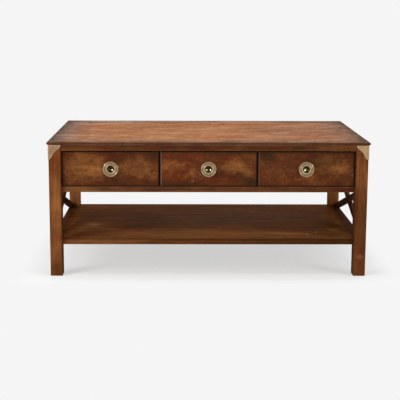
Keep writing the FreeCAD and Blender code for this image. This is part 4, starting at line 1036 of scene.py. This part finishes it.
def addBracket(name, part):
    piece = copyOf(name)
    low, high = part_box(name)
    out = Vector([1 if low[axis] + high[axis] > 0 else -1 for axis in (0, 1)] + [0])
    pickArrises(piece, out, part)
    bpy.ops.mesh.bevel(offset=part["round"], segments=part["steps"], clamp_overlap=True)
    editMode(False)
    dress(piece, name + "_rounded", "table", name, part["smooth"])


for end in ("front_left", "front_right", "back_left", "back_right"):
    addBracket("bracket_" + end, bracketParts)
print("brackets made")

# Screws of the brackets: domed heads with a slot, each turned its own way
screwParts = {
    "segments": 24, "merge": 0.00001, "smooth": 35, "head": 0.0016, "height": 0.0007, "shank": 0.0009,
    "dome": 0.72, "domeSteps": 5,  # share of the head's height that is domed
    "slot": 0.00042, "slotDepth": 0.00034, "facing": -0.2, "point": 0.000003,
    "turn": 67,  # degrees from one slot to the next
}


# Top of each head, the way it faces and the length of its screw
def screwPlaces():
    piece = copyOf("bracket_screws")
    editMode(True)
    bpy.ops.mesh.select_all(action="SELECT")
    bpy.ops.mesh.separate(type="LOOSE")
    editMode(False)
    rows = []
    for part in list(bpy.context.selected_objects):
        points = [point.co for point in part.data.vertices]
        low, high = [Vector(map(pick, *points)) for pick in (min, max)]
        axis = 0 if high.x - low.x > high.y - low.y else 1
        facing = 1 if low[axis] + high[axis] > 0 else -1
        top = (low + high) / 2
        top[axis] = high[axis] if facing > 0 else low[axis]
        rows.append((top, axis, facing, high[axis] - low[axis]))
        bpy.data.objects.remove(part)
    return rows


# One screw, from the shank's end round the head to its middle, with the slot sunk into the dome
def makeScrew(part, length):
    head, height = part["head"], part["height"]
    dome = height * part["dome"]
    profile = [(part["point"], length), (part["shank"], length), (part["shank"], height), (head, height)]
    for step in range(part["domeSteps"]):
        angle = quarter * step / part["domeSteps"]
        profile.append((head * math.cos(angle), dome * (1 - math.sin(angle))))
    piece = turned(profile + [(part["point"], 0)], part["segments"], (0, 0, 0), part["merge"])
    editMode(True)
    for side in (-1, 1):
        bpy.ops.mesh.select_all(action="SELECT")
        bpy.ops.mesh.bisect(plane_co=(side * part["slot"] / 2, 0, 0), plane_no=(1, 0, 0))
    editMode(False)
    for face in piece.data.polygons:
        face.select = (abs(face.center.x) < part["slot"] / 2 and face.normal.y < part["facing"]
                       and face.center.y < height)
    bpy.context.tool_settings.mesh_select_mode = (False, False, True)
    editMode(True)
    bpy.ops.mesh.extrude_region_move(TRANSFORM_OT_translate={"value": (0, part["slotDepth"], 0)})
    editMode(False)
    return piece


def addScrews(part):
    rows = screwPlaces()
    first = makeScrew(part, rows[0][3])
    screws = [first] + [repeated(first, 0) for _ in rows[1:]]
    for count, (piece, (top, axis, facing, _)) in enumerate(zip(screws, rows)):
        about = facing * quarter if axis == 0 else (math.pi if facing > 0 else 0)
        piece.matrix_world = (Matrix.Translation(top) @ Matrix.Rotation(about, 4, "Z")
                              @ Matrix.Rotation(math.radians(count * part["turn"]), 4, "Y"))
    dress(joined(first, screws[1:]), "domedScrews", "table", "bracket_screws", part["smooth"])
    print("screws made:", len(rows))


addScrews(screwParts)
